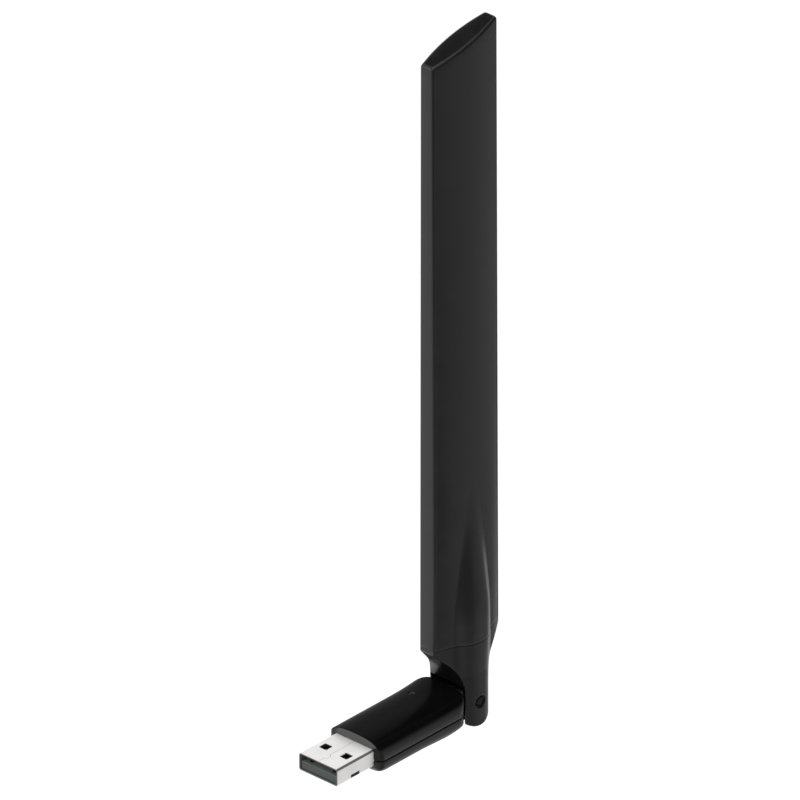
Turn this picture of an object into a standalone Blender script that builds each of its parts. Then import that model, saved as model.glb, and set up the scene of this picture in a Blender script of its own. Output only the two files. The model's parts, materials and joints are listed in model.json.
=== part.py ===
"""USB wireless adapter: a plug, a two-shell housing and a paddle antenna that folds on a fork hinge.

The origin is on the plug's axis, at the housing's front face. +Y runs from the plug to the hinge,
+Z is up and X is across. The antenna is modelled upright.
"""

import math

import bmesh
import bpy
import numpy as np

MM = 0.001

# Plug
PLUG_WIDTH = 12.0 * MM
PLUG_HEIGHT = 4.5 * MM
PLUG_REACH = 12.3 * MM
PLUG_TAIL = 6.0 * MM
PLUG_SHEET = 0.3 * MM
PLUG_CORNER = 0.7 * MM
LATCH_HOLE = 2.3 * MM
LATCH_SPACING = 6.4 * MM
LATCH_SETBACK = 6.1 * MM
SIDE_SLOT_LENGTH = 2.9 * MM
SIDE_SLOT_HEIGHT = 0.9 * MM
SEAM_WIDTH = 0.15 * MM
SEAM_JOG = 0.7 * MM
SEAM_LOCK_SETBACK = 3.0 * MM
SEAM_LOCK_LENGTH = 1.1 * MM
INSULATOR_THICKNESS = 1.9 * MM
SOCKET_DEPTH = 9.2 * MM
CONTACT_WIDTH = 1.0 * MM
CONTACT_THICKNESS = 0.25 * MM
INNER_CONTACT_X = 1.0 * MM
OUTER_CONTACT_X = 3.5 * MM
INNER_CONTACT_SETBACK = 2.4 * MM
OUTER_CONTACT_SETBACK = 1.4 * MM

# Housing
HOUSING_WIDTH = 16.5 * MM
HOUSING_RISE = 4.4 * MM
HOUSING_DROP = 4.15 * MM
HOUSING_HUMP = 0.45 * MM
HOUSING_HUMP_LENGTH = 11.0 * MM
HOUSING_SAG = 0.9 * MM
HOUSING_SAG_LENGTH = 16.0 * MM
HOUSING_WALL = 1.2 * MM
PARTING_HEIGHT = -0.45 * MM
PARTING_GAP = 0.3 * MM
FRONT_CORNER = 1.8 * MM
FRONT_EASE = 0.5 * MM
FRONT_UNDERCUT = 1.3 * MM
FRONT_UNDERCUT_LENGTH = 3.0 * MM
REAR_LIP = 1.7 * MM
REAR_CORNER = 4.3 * MM
REAR_EASE = 0.9 * MM
REAR_UNDERCUT = 3.3 * MM
REAR_UNDERCUT_LENGTH = 6.0 * MM
TOP_SQUARENESS = 2.5
REAR_SQUARENESS = 3.8
BOTTOM_SQUARENESS = 4.5

# Hinge
HINGE_REACH = 36.0 * MM
KNUCKLE_WIDTH = 9.8 * MM
KNUCKLE_RADIUS = 4.3 * MM
KNUCKLE_EASE = 0.4 * MM
CHEEK_GAP = 0.3 * MM
CHEEK_RADIUS = 6.3 * MM
CHEEK_HALF_WIDTH = 4.0 * MM
PIN_RADIUS = 1.2 * MM
PIN_RECESS = 0.35 * MM
PIN_INNER_END = 2.0 * MM
PIN_POCKET_RADIUS = 1.65 * MM
PIN_POCKET_DEPTH = 0.6 * MM
PIN_CLEARANCE = 0.08 * MM

# Antenna, with heights above the hinge
ANTENNA_LENGTH = 172.9 * MM
TIP_SLANT = math.radians(13.0)
TIP_EASE = 0.9 * MM
BLADE_WIDTH = 22.2 * MM
BLADE_EDGE_FOOT = 4.3 * MM
BLADE_EDGE_TIP = 3.7 * MM
BLADE_MIDDLE_FOOT = 10.0 * MM
BLADE_MIDDLE_TIP = 6.5 * MM
BLADE_CORNER = 0.7 * MM
SLEEVE_WALL = 1.3 * MM
SLEEVE_TIP_WALL = 2.5 * MM
NECK_RADIUS = 6.8 * MM
FAIRING_FOOT_RADIUS = 7.1 * MM
FAIRING_HEIGHT = 34.0 * MM
FAIRING_STRAIGHT = 8.0 * MM
SLEEVE_FOOT = 16.3 * MM
SLEEVE_GAP = 0.3 * MM
SHOULDER_TOP = 15.0 * MM
SHOULDER_BOTTOM = 7.8 * MM
SHOULDER_EASE = 2.4 * MM
CROTCH_CLEARANCE = 0.6 * MM
SPIGOT_HEIGHT = 10.0 * MM
SPIGOT_WIDTH = 14.0 * MM
SPIGOT_THICKNESS = 4.8 * MM
SPIGOT_ROOT = 3.0 * MM

# Boards and cable
FIT_GAP = 0.15 * MM
SOLDER_GAP = 0.1 * MM
BOARD_TOP = -0.55 * MM
BOARD_THICKNESS = 1.0 * MM
BOARD_MARGIN = 0.65 * MM
BOARD_NOTCH = 3.1 * MM
CABLE_ROOM = 2.2 * MM
POST_RADIUS = 0.9 * MM
PART_SPACING = 0.4 * MM
COAX_RADIUS = 0.6 * MM
COAX_BEND = 2.3 * MM
COAX_JOINT_GAP = 0.3 * MM
COAX_DUCT = 1.1 * MM
COAX_START_X = 1.5 * MM
FEED_HEIGHT = 88.0 * MM
AERIAL_BOARD_WIDTH = 9.0 * MM
AERIAL_BOARD_THICKNESS = 0.8 * MM
AERIAL_BOARD_LENGTH = 138.0 * MM
AERIAL_SEAT = 6.0 * MM
ARM_LENGTH = 28.0 * MM
ARM_WIDTH = 6.0 * MM
ARM_THICKNESS = 0.2 * MM
ARM_SPLIT = 2.0 * MM
LIGHT_PIPE_RADIUS = 0.7 * MM

# Chips: width, length and height
RADIO_CHIP = (6.0 * MM, 6.0 * MM, 0.9 * MM)
REGULATOR = (2.9 * MM, 1.8 * MM, 1.1 * MM)
INDUCTOR = (2.4 * MM, 2.4 * MM, 1.2 * MM)
CRYSTAL = (2.5 * MM, 3.2 * MM, 0.7 * MM)
RADIO_FILTER = (1.2 * MM, 2.0 * MM, 0.9 * MM)
STATUS_LED = (0.8 * MM, 1.6 * MM, 0.6 * MM)
CAPACITOR = (0.8 * MM, 1.6 * MM, 0.8 * MM)
CAPACITOR_COUNT = 4

# Sizes that follow from the ones above
PLUG_TIP = -PLUG_REACH
RELIEF_RADIUS = CHEEK_RADIUS + CHEEK_GAP
HOUSING_LENGTH = HINGE_REACH - RELIEF_RADIUS + REAR_LIP
CAVITY_END = HINGE_REACH - RELIEF_RADIUS - HOUSING_WALL
SLOT_WIDTH = KNUCKLE_WIDTH + 2 * CHEEK_GAP
CROTCH = KNUCKLE_RADIUS + CROTCH_CLEARANCE
INSULATOR_BOTTOM = -(PLUG_HEIGHT / 2 - PLUG_SHEET - FIT_GAP)
INSULATOR_TOP = INSULATOR_BOTTOM + INSULATOR_THICKNESS
INSULATOR_BACK = PLUG_TIP + SOCKET_DEPTH
BOARD_WIDTH = HOUSING_WIDTH - 2 * (HOUSING_WALL + BOARD_MARGIN)
BOARD_FRONT = PLUG_TAIL + 2 * FIT_GAP
BOARD_REAR = CAVITY_END - HOUSING_WALL - CABLE_ROOM
SHELL_FLOOR = HOUSING_WALL - HOUSING_DROP
FAIRING_START = SLEEVE_FOOT + FAIRING_STRAIGHT
FAIRING_TOP = SLEEVE_FOOT + FAIRING_HEIGHT
AERIAL_BOARD_FOOT = SLEEVE_FOOT + SPIGOT_HEIGHT - AERIAL_SEAT
COAX_ON_AERIAL_X = AERIAL_BOARD_THICKNESS / 2 + SOLDER_GAP + COAX_RADIUS
COAX_ON_BOARD_Z = BOARD_TOP + SOLDER_GAP + COAX_RADIUS
FAR = 60.0 * MM

# Colour, roughness and metallic value of each finish
FINISHES = {
    "nickel": ((0.80, 0.79, 0.77), 0.22, 1.0),
    "gold": ((0.83, 0.62, 0.25), 0.25, 1.0),
    "copper": ((0.72, 0.40, 0.25), 0.30, 1.0),
    "gloss_black": ((0.006, 0.006, 0.007), 0.12, 0.0),
    "satin_black": ((0.016, 0.016, 0.017), 0.42, 0.0),
    "dark_nylon": ((0.030, 0.034, 0.034), 0.50, 0.0),
    "steel": ((0.45, 0.45, 0.46), 0.35, 1.0),
    "black_steel": ((0.035, 0.035, 0.037), 0.45, 1.0),
    "green_laminate": ((0.015, 0.075, 0.035), 0.40, 0.0),
    "chip_epoxy": ((0.012, 0.012, 0.013), 0.55, 0.0),
    "ferrite": ((0.055, 0.055, 0.058), 0.60, 0.0),
    "ceramic_tan": ((0.42, 0.29, 0.17), 0.50, 0.0),
    "clear_acrylic": ((0.62, 0.64, 0.66), 0.15, 0.0),
    "smoked_acrylic": ((0.016, 0.016, 0.017), 0.15, 0.0),
    "cable_jacket": ((0.020, 0.020, 0.021), 0.45, 0.0),
}


def clear_scene():
    for obj in list(bpy.data.objects):
        bpy.data.objects.remove(obj, do_unlink=True)


def empty(name, location):
    obj = bpy.data.objects.new(name, None)
    obj.location = location
    bpy.context.scene.collection.objects.link(obj)
    return obj


def give_finish(obj, finish):
    colour, roughness, metallic = FINISHES[finish]
    made = bpy.data.materials.new(obj.name + "_" + finish)
    made.use_nodes = True
    shader = made.node_tree.nodes["Principled BSDF"]
    shader.inputs["Base Color"].default_value = (*colour, 1.0)
    shader.inputs["Roughness"].default_value = roughness
    shader.inputs["Metallic"].default_value = metallic
    obj.data.materials.append(made)


def solid(name, points, faces, parent, finish):
    """A mesh object with its faces turned outwards. With no finish it is a cutter."""
    mesh = bpy.data.meshes.new(name)
    mesh.from_pydata([tuple(p) for p in points], [], faces)
    shape = bmesh.new()
    shape.from_mesh(mesh)
    bmesh.ops.recalc_face_normals(shape, faces=shape.faces)
    shape.to_mesh(mesh)
    shape.free()
    mesh.shade_smooth()
    mesh.set_sharp_from_angle(angle=math.radians(35))
    obj = bpy.data.objects.new(name, mesh)
    obj.parent = parent
    bpy.context.scene.collection.objects.link(obj)
    if finish:
        give_finish(obj, finish)
    else:
        obj.hide_render = True
        obj.display_type = "WIRE"
    return obj


def loft(name, rings, parent, finish=None):
    """Closed rings of equal length joined by quads, with a flat cap on each end."""
    rings = np.asarray(rings)
    count, size = rings.shape[:2]
    faces = [tuple(range(size)), tuple(range((count - 1) * size, count * size))]
    for i in range(count - 1):
        for j in range(size):
            k = (j + 1) % size
            faces.append((i * size + j, i * size + k, (i + 1) * size + k, (i + 1) * size + j))
    return solid(name, rings.reshape(-1, 3), faces, parent, finish)


def prism(name, outline, axis, low, high, parent, finish=None):
    """A flat outline carried along one axis. Its two numbers go to the other axes, in X, Y, Z order."""
    outline = np.asarray(outline)
    rings = [np.insert(outline, "XYZ".index(axis), level, axis=1) for level in (low, high)]
    return loft(name, rings, parent, finish)


def block(name, low, high, parent, finish=None):
    corners = [(low[0], low[1]), (high[0], low[1]), (high[0], high[1]), (low[0], high[1])]
    return prism(name, corners, "Z", low[2], high[2], parent, finish)


def circle(radius, sides=24, centre=(0.0, 0.0)):
    angles = np.arange(sides) * 2 * math.pi / sides
    return np.column_stack((centre[0] + radius * np.cos(angles), centre[1] + radius * np.sin(angles)))


def arc(radius, start, end, steps):
    angles = np.linspace(start, end, steps + 1)
    return np.column_stack((radius * np.cos(angles), radius * np.sin(angles)))


def rounded_rectangle(width, height, radius, steps=5):
    """Corner arcs in turn from the top right, anticlockwise."""
    quarter = math.pi / 2
    middles = [(1, 1), (-1, 1), (-1, -1), (1, -1)]
    reach = np.array((width / 2 - radius, height / 2 - radius))
    corners = [
        np.array(side) * reach + arc(radius, i * quarter, (i + 1) * quarter, steps)
        for i, side in enumerate(middles)
    ]
    return np.vstack(corners)


def tube(name, route, parent, finish):
    """A round cable along a smooth curve through the route's points."""
    route = np.asarray(route)
    before = np.vstack((2 * route[0] - route[1], route[:-1]))
    after = np.vstack((route[1:], 2 * route[-1] - route[-2]))
    slopes = (after - before) / np.linalg.norm(after - before, axis=1)[:, None]
    points = [route[0]]
    for i in range(len(route) - 1):
        span = np.linalg.norm(route[i + 1] - route[i])
        steps = min(8, max(2, math.ceil(span / (6 * COAX_RADIUS))))
        for t in np.linspace(0, 1, steps + 1)[1:]:
            place = (2 * t**3 - 3 * t**2 + 1) * route[i] + (3 * t**2 - 2 * t**3) * route[i + 1]
            bend = (t**3 - 2 * t**2 + t) * slopes[i] + (t**3 - t**2) * slopes[i + 1]
            points.append(place + bend * span)
    data = bpy.data.curves.new(name, "CURVE")
    data.dimensions = "3D"
    data.bevel_depth = COAX_RADIUS
    data.bevel_resolution = 2
    data.use_fill_caps = True
    line = data.splines.new("POLY")
    line.points.add(len(points) - 1)
    for target, point in zip(line.points, points):
        target.co = (*point, 1.0)
    obj = bpy.data.objects.new(name, data)
    obj.parent = parent
    bpy.context.scene.collection.objects.link(obj)
    give_finish(obj, finish)


def combine(target, operation, *others):
    for other in others:
        change = target.modifiers.new(operation.lower() + "_" + other.name, "BOOLEAN")
        change.operation = operation
        change.solver = "EXACT"
        change.object = other


def cut(target, *cutters):
    combine(target, "DIFFERENCE", *cutters)


def join(target, *others):
    combine(target, "UNION", *others)


# Plug


def plug_outline(inset):
    return rounded_rectangle(
        PLUG_WIDTH - 2 * inset, PLUG_HEIGHT - 2 * inset, max(PLUG_CORNER - inset, FIT_GAP)
    )


def make_plug_shell(body):
    shell = prism("plug_shell", plug_outline(0.0), "Y", PLUG_TIP, PLUG_TAIL, body, "nickel")
    hollow = prism("plug_hollow", plug_outline(PLUG_SHEET), "Y", PLUG_TIP - FAR, PLUG_TAIL + FAR, body)
    cut(shell, hollow)
    middle = PLUG_TIP + LATCH_SETBACK
    for side, word in ((-1, "left"), (1, "right")):
        x = side * LATCH_SPACING / 2
        hole = rounded_rectangle(LATCH_HOLE, LATCH_HOLE, LATCH_HOLE / 8, 2) + (x, middle)
        cut(shell, prism("latch_hole_" + word, hole, "Z", -FAR, FAR, body))
        inner, outer = sorted((side * (PLUG_WIDTH / 2 - 2 * PLUG_SHEET), side * FAR))
        floor = PLUG_SHEET - PLUG_HEIGHT / 2
        low = (inner, middle - SIDE_SLOT_LENGTH / 2, floor)
        high = (outer, middle + SIDE_SLOT_LENGTH / 2, floor + SIDE_SLOT_HEIGHT)
        cut(shell, block("side_slot_" + word, low, high, body))
    cut(shell, make_seam(body))


def make_seam(body):
    """The butt seam on the plug's top, with a step aside that locks its two edges together."""
    lock = PLUG_TIP + SEAM_LOCK_SETBACK
    path = np.array(
        [
            (0.0, PLUG_TIP - FAR),
            (0.0, lock - SEAM_LOCK_LENGTH),
            (SEAM_JOG, lock - SEAM_LOCK_LENGTH / 2),
            (SEAM_JOG, lock + SEAM_LOCK_LENGTH / 2),
            (0.0, lock + SEAM_LOCK_LENGTH),
            (0.0, PLUG_TAIL + FAR),
        ]
    )
    half = np.array((SEAM_WIDTH / 2, 0.0))
    outline = np.vstack((path + half, path[::-1] - half))
    return prism("plug_seam", outline, "Z", PLUG_HEIGHT / 4, FAR, body)


def contact_slots():
    """Each contact's name, X place and setback from the plug's tip."""
    return (
        ("contact_power", OUTER_CONTACT_X, OUTER_CONTACT_SETBACK),
        ("contact_data_minus", INNER_CONTACT_X, INNER_CONTACT_SETBACK),
        ("contact_data_plus", -INNER_CONTACT_X, INNER_CONTACT_SETBACK),
        ("contact_ground", -OUTER_CONTACT_X, OUTER_CONTACT_SETBACK),
    )


def make_insulator(body):
    """A block that fills the plug's back, cut away in front to leave the tongue."""
    outline = plug_outline(PLUG_SHEET + FIT_GAP)
    front = PLUG_TIP + PLUG_SHEET
    back = PLUG_TAIL - FIT_GAP
    insulator = prism("plug_insulator", outline, "Y", front, back, body, "dark_nylon")
    cut(insulator, block("socket", (-FAR, -FAR, INSULATOR_TOP), (FAR, INSULATOR_BACK, FAR), body))
    reach = CONTACT_WIDTH / 2 + FIT_GAP
    for name, x, setback in contact_slots():
        low = (x - reach, INSULATOR_BACK - FIT_GAP, INSULATOR_TOP)
        high = (x + reach, PLUG_TAIL + FAR, INSULATOR_TOP + CONTACT_THICKNESS + 2 * FIT_GAP)
        cut(insulator, block(name + "_slot", low, high, body))


def make_contacts(body):
    """Each contact lies on the tongue, passes the heel and steps down to the board."""
    run = INSULATOR_TOP + SOLDER_GAP
    foot = BOARD_TOP + SOLDER_GAP
    step = run - foot
    back = PLUG_TAIL + FIT_GAP
    for name, x, setback in contact_slots():
        under = np.array(
            [
                (PLUG_TIP + setback, run),
                (back, run),
                (back + step, foot),
                (BOARD_FRONT + BOARD_NOTCH - PART_SPACING, foot),
            ]
        )
        outline = np.vstack((under, under[::-1] + (0.0, CONTACT_THICKNESS)))
        half = CONTACT_WIDTH / 2
        prism(name, outline, "X", x - half, x + half, body, "gold")


# Housing


def housing_half_width(y):
    """The plan outline: small front corners, straight sides and wide rear corners."""
    half = HOUSING_WIDTH / 2
    rear_start = HOUSING_LENGTH - REAR_CORNER
    if y < FRONT_CORNER:
        return half - FRONT_CORNER + math.sqrt(FRONT_CORNER**2 - (FRONT_CORNER - y) ** 2)
    if y > rear_start:
        return half - REAR_CORNER + math.sqrt(max(REAR_CORNER**2 - (y - rear_start) ** 2, 0.0))
    return half


def hump(y):
    """How far the housing has swelled towards the hinge, from none to one."""
    return max(0.0, 1 - (HOUSING_LENGTH - y) / HOUSING_HUMP_LENGTH) ** 2


def sag(y):
    """How far the bottom has sloped down towards the hinge, from none to one."""
    return max(0.0, 1 - (HOUSING_LENGTH - y) / HOUSING_SAG_LENGTH)


def top_squareness(y):
    return TOP_SQUARENESS + (REAR_SQUARENESS - TOP_SQUARENESS) * hump(y)


def round_over(height, length, depth):
    """How far an elliptic edge of this height and length draws in, at a depth behind its face."""
    return height * (1 - math.sqrt(1 - max(0.0, 1 - depth / length) ** 2))


def housing_top(y):
    """The height of the housing's ridge, drawn in at the front and rear edges."""
    front = round_over(FRONT_EASE, FRONT_EASE, y)
    rear = round_over(REAR_EASE, REAR_EASE, HOUSING_LENGTH - y)
    return HOUSING_RISE + HOUSING_HUMP * hump(y) - front - rear


def housing_bottom(y):
    """The depth of the housing's keel, which rises to the end faces in long round edges."""
    front = round_over(FRONT_UNDERCUT, FRONT_UNDERCUT_LENGTH, y)
    rear = round_over(REAR_UNDERCUT, REAR_UNDERCUT_LENGTH, HOUSING_LENGTH - y)
    return HOUSING_DROP + HOUSING_SAG * sag(y) - front - rear


def housing_ring(y, inset, sides):
    """A section with a domed top and a squarer bottom, set in from the outside by inset."""
    angles = (np.arange(sides) + 0.5) * 2 * math.pi / sides
    across, up = np.cos(angles), np.sin(angles)
    power = np.where(up > 0, 2 / top_squareness(y), 2 / BOTTOM_SQUARENESS)
    height = np.where(up > 0, housing_top(y), housing_bottom(y)) - inset
    half = housing_half_width(y) - inset
    x = half * np.sign(across) * np.abs(across) ** power
    z = height * np.sign(up) * np.abs(up) ** power
    return np.column_stack((x, np.full(sides, y), z))


def housing_stations(steps):
    quarter = np.linspace(0, math.pi / 2, steps + 1)
    ease = FRONT_EASE * (1 - np.cos(quarter))
    front = FRONT_CORNER * (1 - np.cos(quarter))
    undercut = FRONT_UNDERCUT_LENGTH * (1 - np.cos(quarter))
    rear_undercut = HOUSING_LENGTH - REAR_UNDERCUT_LENGTH * (1 - np.cos(quarter))
    rear = HOUSING_LENGTH - REAR_CORNER * (1 - np.sin(quarter))
    rear_ease = HOUSING_LENGTH - REAR_EASE * (1 - np.cos(quarter))
    swell = HOUSING_LENGTH - HOUSING_HUMP_LENGTH * np.linspace(0, 1, steps)
    slope = HOUSING_LENGTH - HOUSING_SAG_LENGTH
    whole = np.concatenate((ease, front, undercut, [slope], swell, rear, rear_undercut, rear_ease))
    return np.unique(np.round(whole, 4))


def make_knuckle(name, body, width, radius):
    """The tongue that runs back from the housing and ends in the round hinge knuckle."""
    rings = []
    for inset in (KNUCKLE_EASE, 0.0):
        size = radius - inset
        end = arc(size, -math.pi / 2, math.pi / 2, 14) + (HINGE_REACH, 0.0)
        root = CAVITY_END + HOUSING_WALL / 2
        rings.append(np.vstack((end, [(root, size), (root, -size)])))
    reaches = [-width / 2, KNUCKLE_EASE - width / 2, width / 2 - KNUCKLE_EASE, width / 2]
    shapes = [rings[0], rings[1], rings[1], rings[0]]
    return loft(name, [np.insert(s, 0, x, axis=1) for x, s in zip(reaches, shapes)], body)


def make_shells(body):
    upper = make_shell("upper_shell", body, "gloss_black")
    lower = make_shell("lower_shell", body, "satin_black")
    upper_floor = PARTING_HEIGHT + PARTING_GAP / 2
    lower_roof = PARTING_HEIGHT - PARTING_GAP / 2
    cut(upper, block("below_upper", (-FAR, -FAR, -FAR), (FAR, 2 * FAR, upper_floor), body))
    cut(lower, block("above_lower", (-FAR, -FAR, lower_roof), (FAR, 2 * FAR, FAR), body))
    x, y = led_place()
    hole = circle(LIGHT_PIPE_RADIUS + FIT_GAP, 16, (x, y))
    cut(upper, prism("light_pipe_hole", hole, "Z", BOARD_TOP, FAR, body))
    add_posts(lower, body)


def make_shell(name, body, finish):
    """The whole housing before its shells are parted: skin, knuckle, cavity and openings."""
    skin = [housing_ring(y, 0.0, 40) for y in housing_stations(5)]
    shell = loft(name, skin, body, finish)
    relief = circle(RELIEF_RADIUS, 40, (HINGE_REACH, 0.0))
    cut(shell, prism(name + "_cheek_relief", relief, "X", -FAR, FAR, body))
    join(shell, make_knuckle(name + "_knuckle", body, KNUCKLE_WIDTH, KNUCKLE_RADIUS))
    inside = [y for y in housing_stations(3) if HOUSING_WALL < y < CAVITY_END]
    stations = [HOUSING_WALL, *inside, CAVITY_END]
    hollow = [housing_ring(y, HOUSING_WALL, 28) for y in stations]
    cut(shell, loft(name + "_hollow", hollow, body))
    mouth = plug_outline(-FIT_GAP)
    cut(shell, prism(name + "_mouth", mouth, "Y", -FAR, BOARD_FRONT, body))
    duct = circle(COAX_DUCT, 16)
    cut(shell, prism(name + "_duct", duct, "Y", CAVITY_END - HOUSING_WALL, HINGE_REACH, body))
    low = (-COAX_DUCT, HINGE_REACH - COAX_BEND + COAX_RADIUS, -FAR)
    cut(shell, block(name + "_cable_slot", low, (COAX_DUCT, HINGE_REACH + FAR, FAR), body))
    bore = circle(PIN_RADIUS + PIN_CLEARANCE, 20, (HINGE_REACH, 0.0))
    cut(shell, prism(name + "_pin_bore", bore, "X", -FAR, FAR, body))
    return shell


def post_places():
    """The board's four supports, near its corners."""
    x = BOARD_WIDTH / 2 - POST_RADIUS - PART_SPACING
    front = BOARD_FRONT + BOARD_NOTCH + POST_RADIUS
    return [(side * x, y) for side in (-1, 1) for y in (front, BOARD_REAR - 2 * POST_RADIUS)]


def add_posts(lower, body):
    top = BOARD_TOP - BOARD_THICKNESS - FIT_GAP
    for i, place in enumerate(post_places()):
        root = SHELL_FLOOR - HOUSING_WALL / 2
        post = prism(f"board_post_{i + 1}", circle(POST_RADIUS, 12, place), "Z", root, top, body)
        join(lower, post)


# Circuit board


def led_place():
    return -(BOARD_WIDTH / 2 - PART_SPACING - CRYSTAL[0] - PART_SPACING - STATUS_LED[0] / 2), rear_row()


def front_row():
    return BOARD_FRONT + BOARD_NOTCH + PART_SPACING


def chip_row():
    return front_row() + max(REGULATOR[1], INDUCTOR[1]) + PART_SPACING + RADIO_CHIP[1] / 2


def rear_row():
    return BOARD_REAR - 2 * PART_SPACING - CRYSTAL[1] / 2


def make_board(body):
    half = BOARD_WIDTH / 2
    neck = PLUG_WIDTH / 2 - PLUG_SHEET - 2 * FIT_GAP
    shoulder = BOARD_FRONT + BOARD_NOTCH
    right = [(neck, BOARD_FRONT), (neck, shoulder), (half, shoulder), (half, BOARD_REAR)]
    left = [(-x, y) for x, y in reversed(right)]
    bottom = BOARD_TOP - BOARD_THICKNESS
    prism("main_board", right + left, "Z", bottom, BOARD_TOP, body, "green_laminate")


def make_chip(name, size, x, y, body, finish):
    width, length, height = size
    base = BOARD_TOP + SOLDER_GAP
    low = (x - width / 2, y - length / 2, base)
    block(name, low, (x + width / 2, y + length / 2, base + height), body, finish)


def make_chips(body):
    edge = BOARD_WIDTH / 2 - PART_SPACING
    front = front_row()
    rear = rear_row()
    make_chip("radio_chip", RADIO_CHIP, 0.0, chip_row(), body, "chip_epoxy")
    left = -(edge - REGULATOR[0] / 2)
    make_chip("regulator", REGULATOR, left, front + REGULATOR[1] / 2, body, "chip_epoxy")
    right = edge - INDUCTOR[0] / 2
    make_chip("power_inductor", INDUCTOR, right, front + INDUCTOR[1] / 2, body, "ferrite")
    make_chip("crystal", CRYSTAL, -(edge - CRYSTAL[0] / 2), rear, body, "steel")
    make_chip("radio_filter", RADIO_FILTER, 0.0, rear, body, "ceramic_tan")
    make_chip("status_led", STATUS_LED, *led_place(), body, "clear_acrylic")
    pitch = CAPACITOR[0] + PART_SPACING
    for i in range(CAPACITOR_COUNT):
        column, row = i % 2, i // 2
        x = edge - CAPACITOR[0] / 2 - column * pitch
        y = rear + CRYSTAL[1] / 2 - CAPACITOR[1] / 2 - row * (CAPACITOR[1] + PART_SPACING)
        make_chip(f"capacitor_{i + 1}", CAPACITOR, x, y, body, "ceramic_tan")


def make_light_pipe(body):
    """A rod from the LED up to the housing's crowned top, cut level with it."""
    x, y = led_place()
    power = top_squareness(y)
    share = (abs(x) / housing_half_width(y)) ** power
    top = housing_top(y) * (1 - share) ** (1 / power) - FIT_GAP
    base = BOARD_TOP + SOLDER_GAP + STATUS_LED[2] + FIT_GAP
    prism("light_pipe", circle(LIGHT_PIPE_RADIUS, 16, (x, y)), "Z", base, top, body, "smoked_acrylic")


def make_body_cable(body):
    z = COAX_ON_BOARD_Z
    route = [
        (COAX_START_X, BOARD_REAR - 2 * PART_SPACING, z),
        (COAX_START_X, BOARD_REAR + PART_SPACING, z),
        (0.0, CAVITY_END, 0.0),
        (0.0, HINGE_REACH - COAX_BEND - COAX_JOINT_GAP, 0.0),
    ]
    tube("coax_body_run", route, body, "cable_jacket")


def make_bend_cable(body):
    """The quarter turn that the cable makes through the knuckle while the antenna is upright."""
    turn = arc(COAX_BEND, -math.pi / 2, 0.0, 4) + (HINGE_REACH - COAX_BEND, COAX_BEND)
    tube("coax_hinge_bend", [(0.0, y, z) for y, z in turn], body, "cable_jacket")


# Antenna, built about the hinge


def blade_half(foot, tip, z):
    """Half a thickness that changes evenly from the sleeve's foot to its tip."""
    share = (z - SLEEVE_FOOT) / (ANTENNA_LENGTH - SLEEVE_FOOT)
    return (foot + (tip - foot) * share) / 2


def fairing_radius(z):
    """The round neck carried on up the blade, straight at first and then a half cone into its face."""
    top = blade_half(BLADE_MIDDLE_FOOT, BLADE_MIDDLE_TIP, FAIRING_TOP)
    share = max(0.0, (z - FAIRING_START) / (FAIRING_TOP - FAIRING_START))
    return FAIRING_FOOT_RADIUS + (top - FAIRING_FOOT_RADIUS) * share


def crease(middle, edge, radius):
    """The Y where a circle of this radius meets the blade's curved face, or a small least value."""
    least = BLADE_WIDTH / 20
    if radius <= middle:
        return least
    fall = (middle - edge) / (BLADE_WIDTH / 2) ** 2
    slope = 1 - 2 * middle * fall
    root = math.sqrt(slope**2 + 4 * fall**2 * (radius**2 - middle**2))
    return max(math.sqrt((root - slope) / (2 * fall**2)), least)


def blade_ring(z, radius, inset=0.0, slant=0.0):
    """The blade's section at one height: two curved faces, flat edges, and a round neck if it is wider."""
    edge = blade_half(BLADE_EDGE_FOOT, BLADE_EDGE_TIP, z)
    middle = blade_half(BLADE_MIDDLE_FOOT, BLADE_MIDDLE_TIP, z)
    half = BLADE_WIDTH / 2
    fold = crease(middle, edge, radius)
    limit = half - inset - BLADE_CORNER
    outer = np.linspace(-limit, -fold, 6)
    y = np.concatenate((outer, np.linspace(-fold, fold, 9)[1:-1], -outer[::-1]))
    face = middle - (middle - edge) * (y / half) ** 2
    neck = np.sqrt(np.maximum(radius**2 - y**2, 0.0))
    x = np.maximum(face, neck) - inset
    turn = np.linspace(0, math.pi / 2, 4)[:-1]
    corner_y = limit + BLADE_CORNER * np.cos(turn)
    corner_x = x[-1] - BLADE_CORNER + BLADE_CORNER * np.sin(turn)
    right_y = np.concatenate((-corner_y, y, corner_y[::-1]))
    right_x = np.concatenate((corner_x, x, corner_x[::-1]))
    ring_x = np.concatenate((right_x, -right_x[::-1]))
    ring_y = np.concatenate((right_y, right_y[::-1]))
    return np.column_stack((ring_x, ring_y, z + slant * ring_y))


def make_sleeve(antenna):
    slope = math.tan(TIP_SLANT)
    heights = np.concatenate(
        (
            np.linspace(SLEEVE_FOOT, FAIRING_START, 3),
            np.linspace(FAIRING_START, FAIRING_TOP, 9)[1:],
            np.linspace(FAIRING_TOP, ANTENNA_LENGTH - TIP_EASE, 7)[1:],
        )
    )
    whole = ANTENNA_LENGTH - TIP_EASE - SLEEVE_FOOT
    rings = [
        blade_ring(z, fairing_radius(min(z, FAIRING_TOP)), 0.0, slope * (z - SLEEVE_FOOT) / whole)
        for z in heights
    ]
    rings += [
        blade_ring(ANTENNA_LENGTH - TIP_EASE * (1 - math.sin(t)), 0.0, TIP_EASE * (1 - math.cos(t)), slope)
        for t in np.linspace(0, math.pi / 2, 4)[1:]
    ]
    sleeve = loft("antenna_sleeve", rings, antenna, "satin_black")
    top = ANTENNA_LENGTH - SLEEVE_TIP_WALL - slope * BLADE_WIDTH / 2
    inside = [blade_ring(z, 0.0, SLEEVE_WALL) for z in (SLEEVE_FOOT - SLEEVE_GAP, top)]
    cut(sleeve, loft("sleeve_hollow", inside, antenna))


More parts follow.
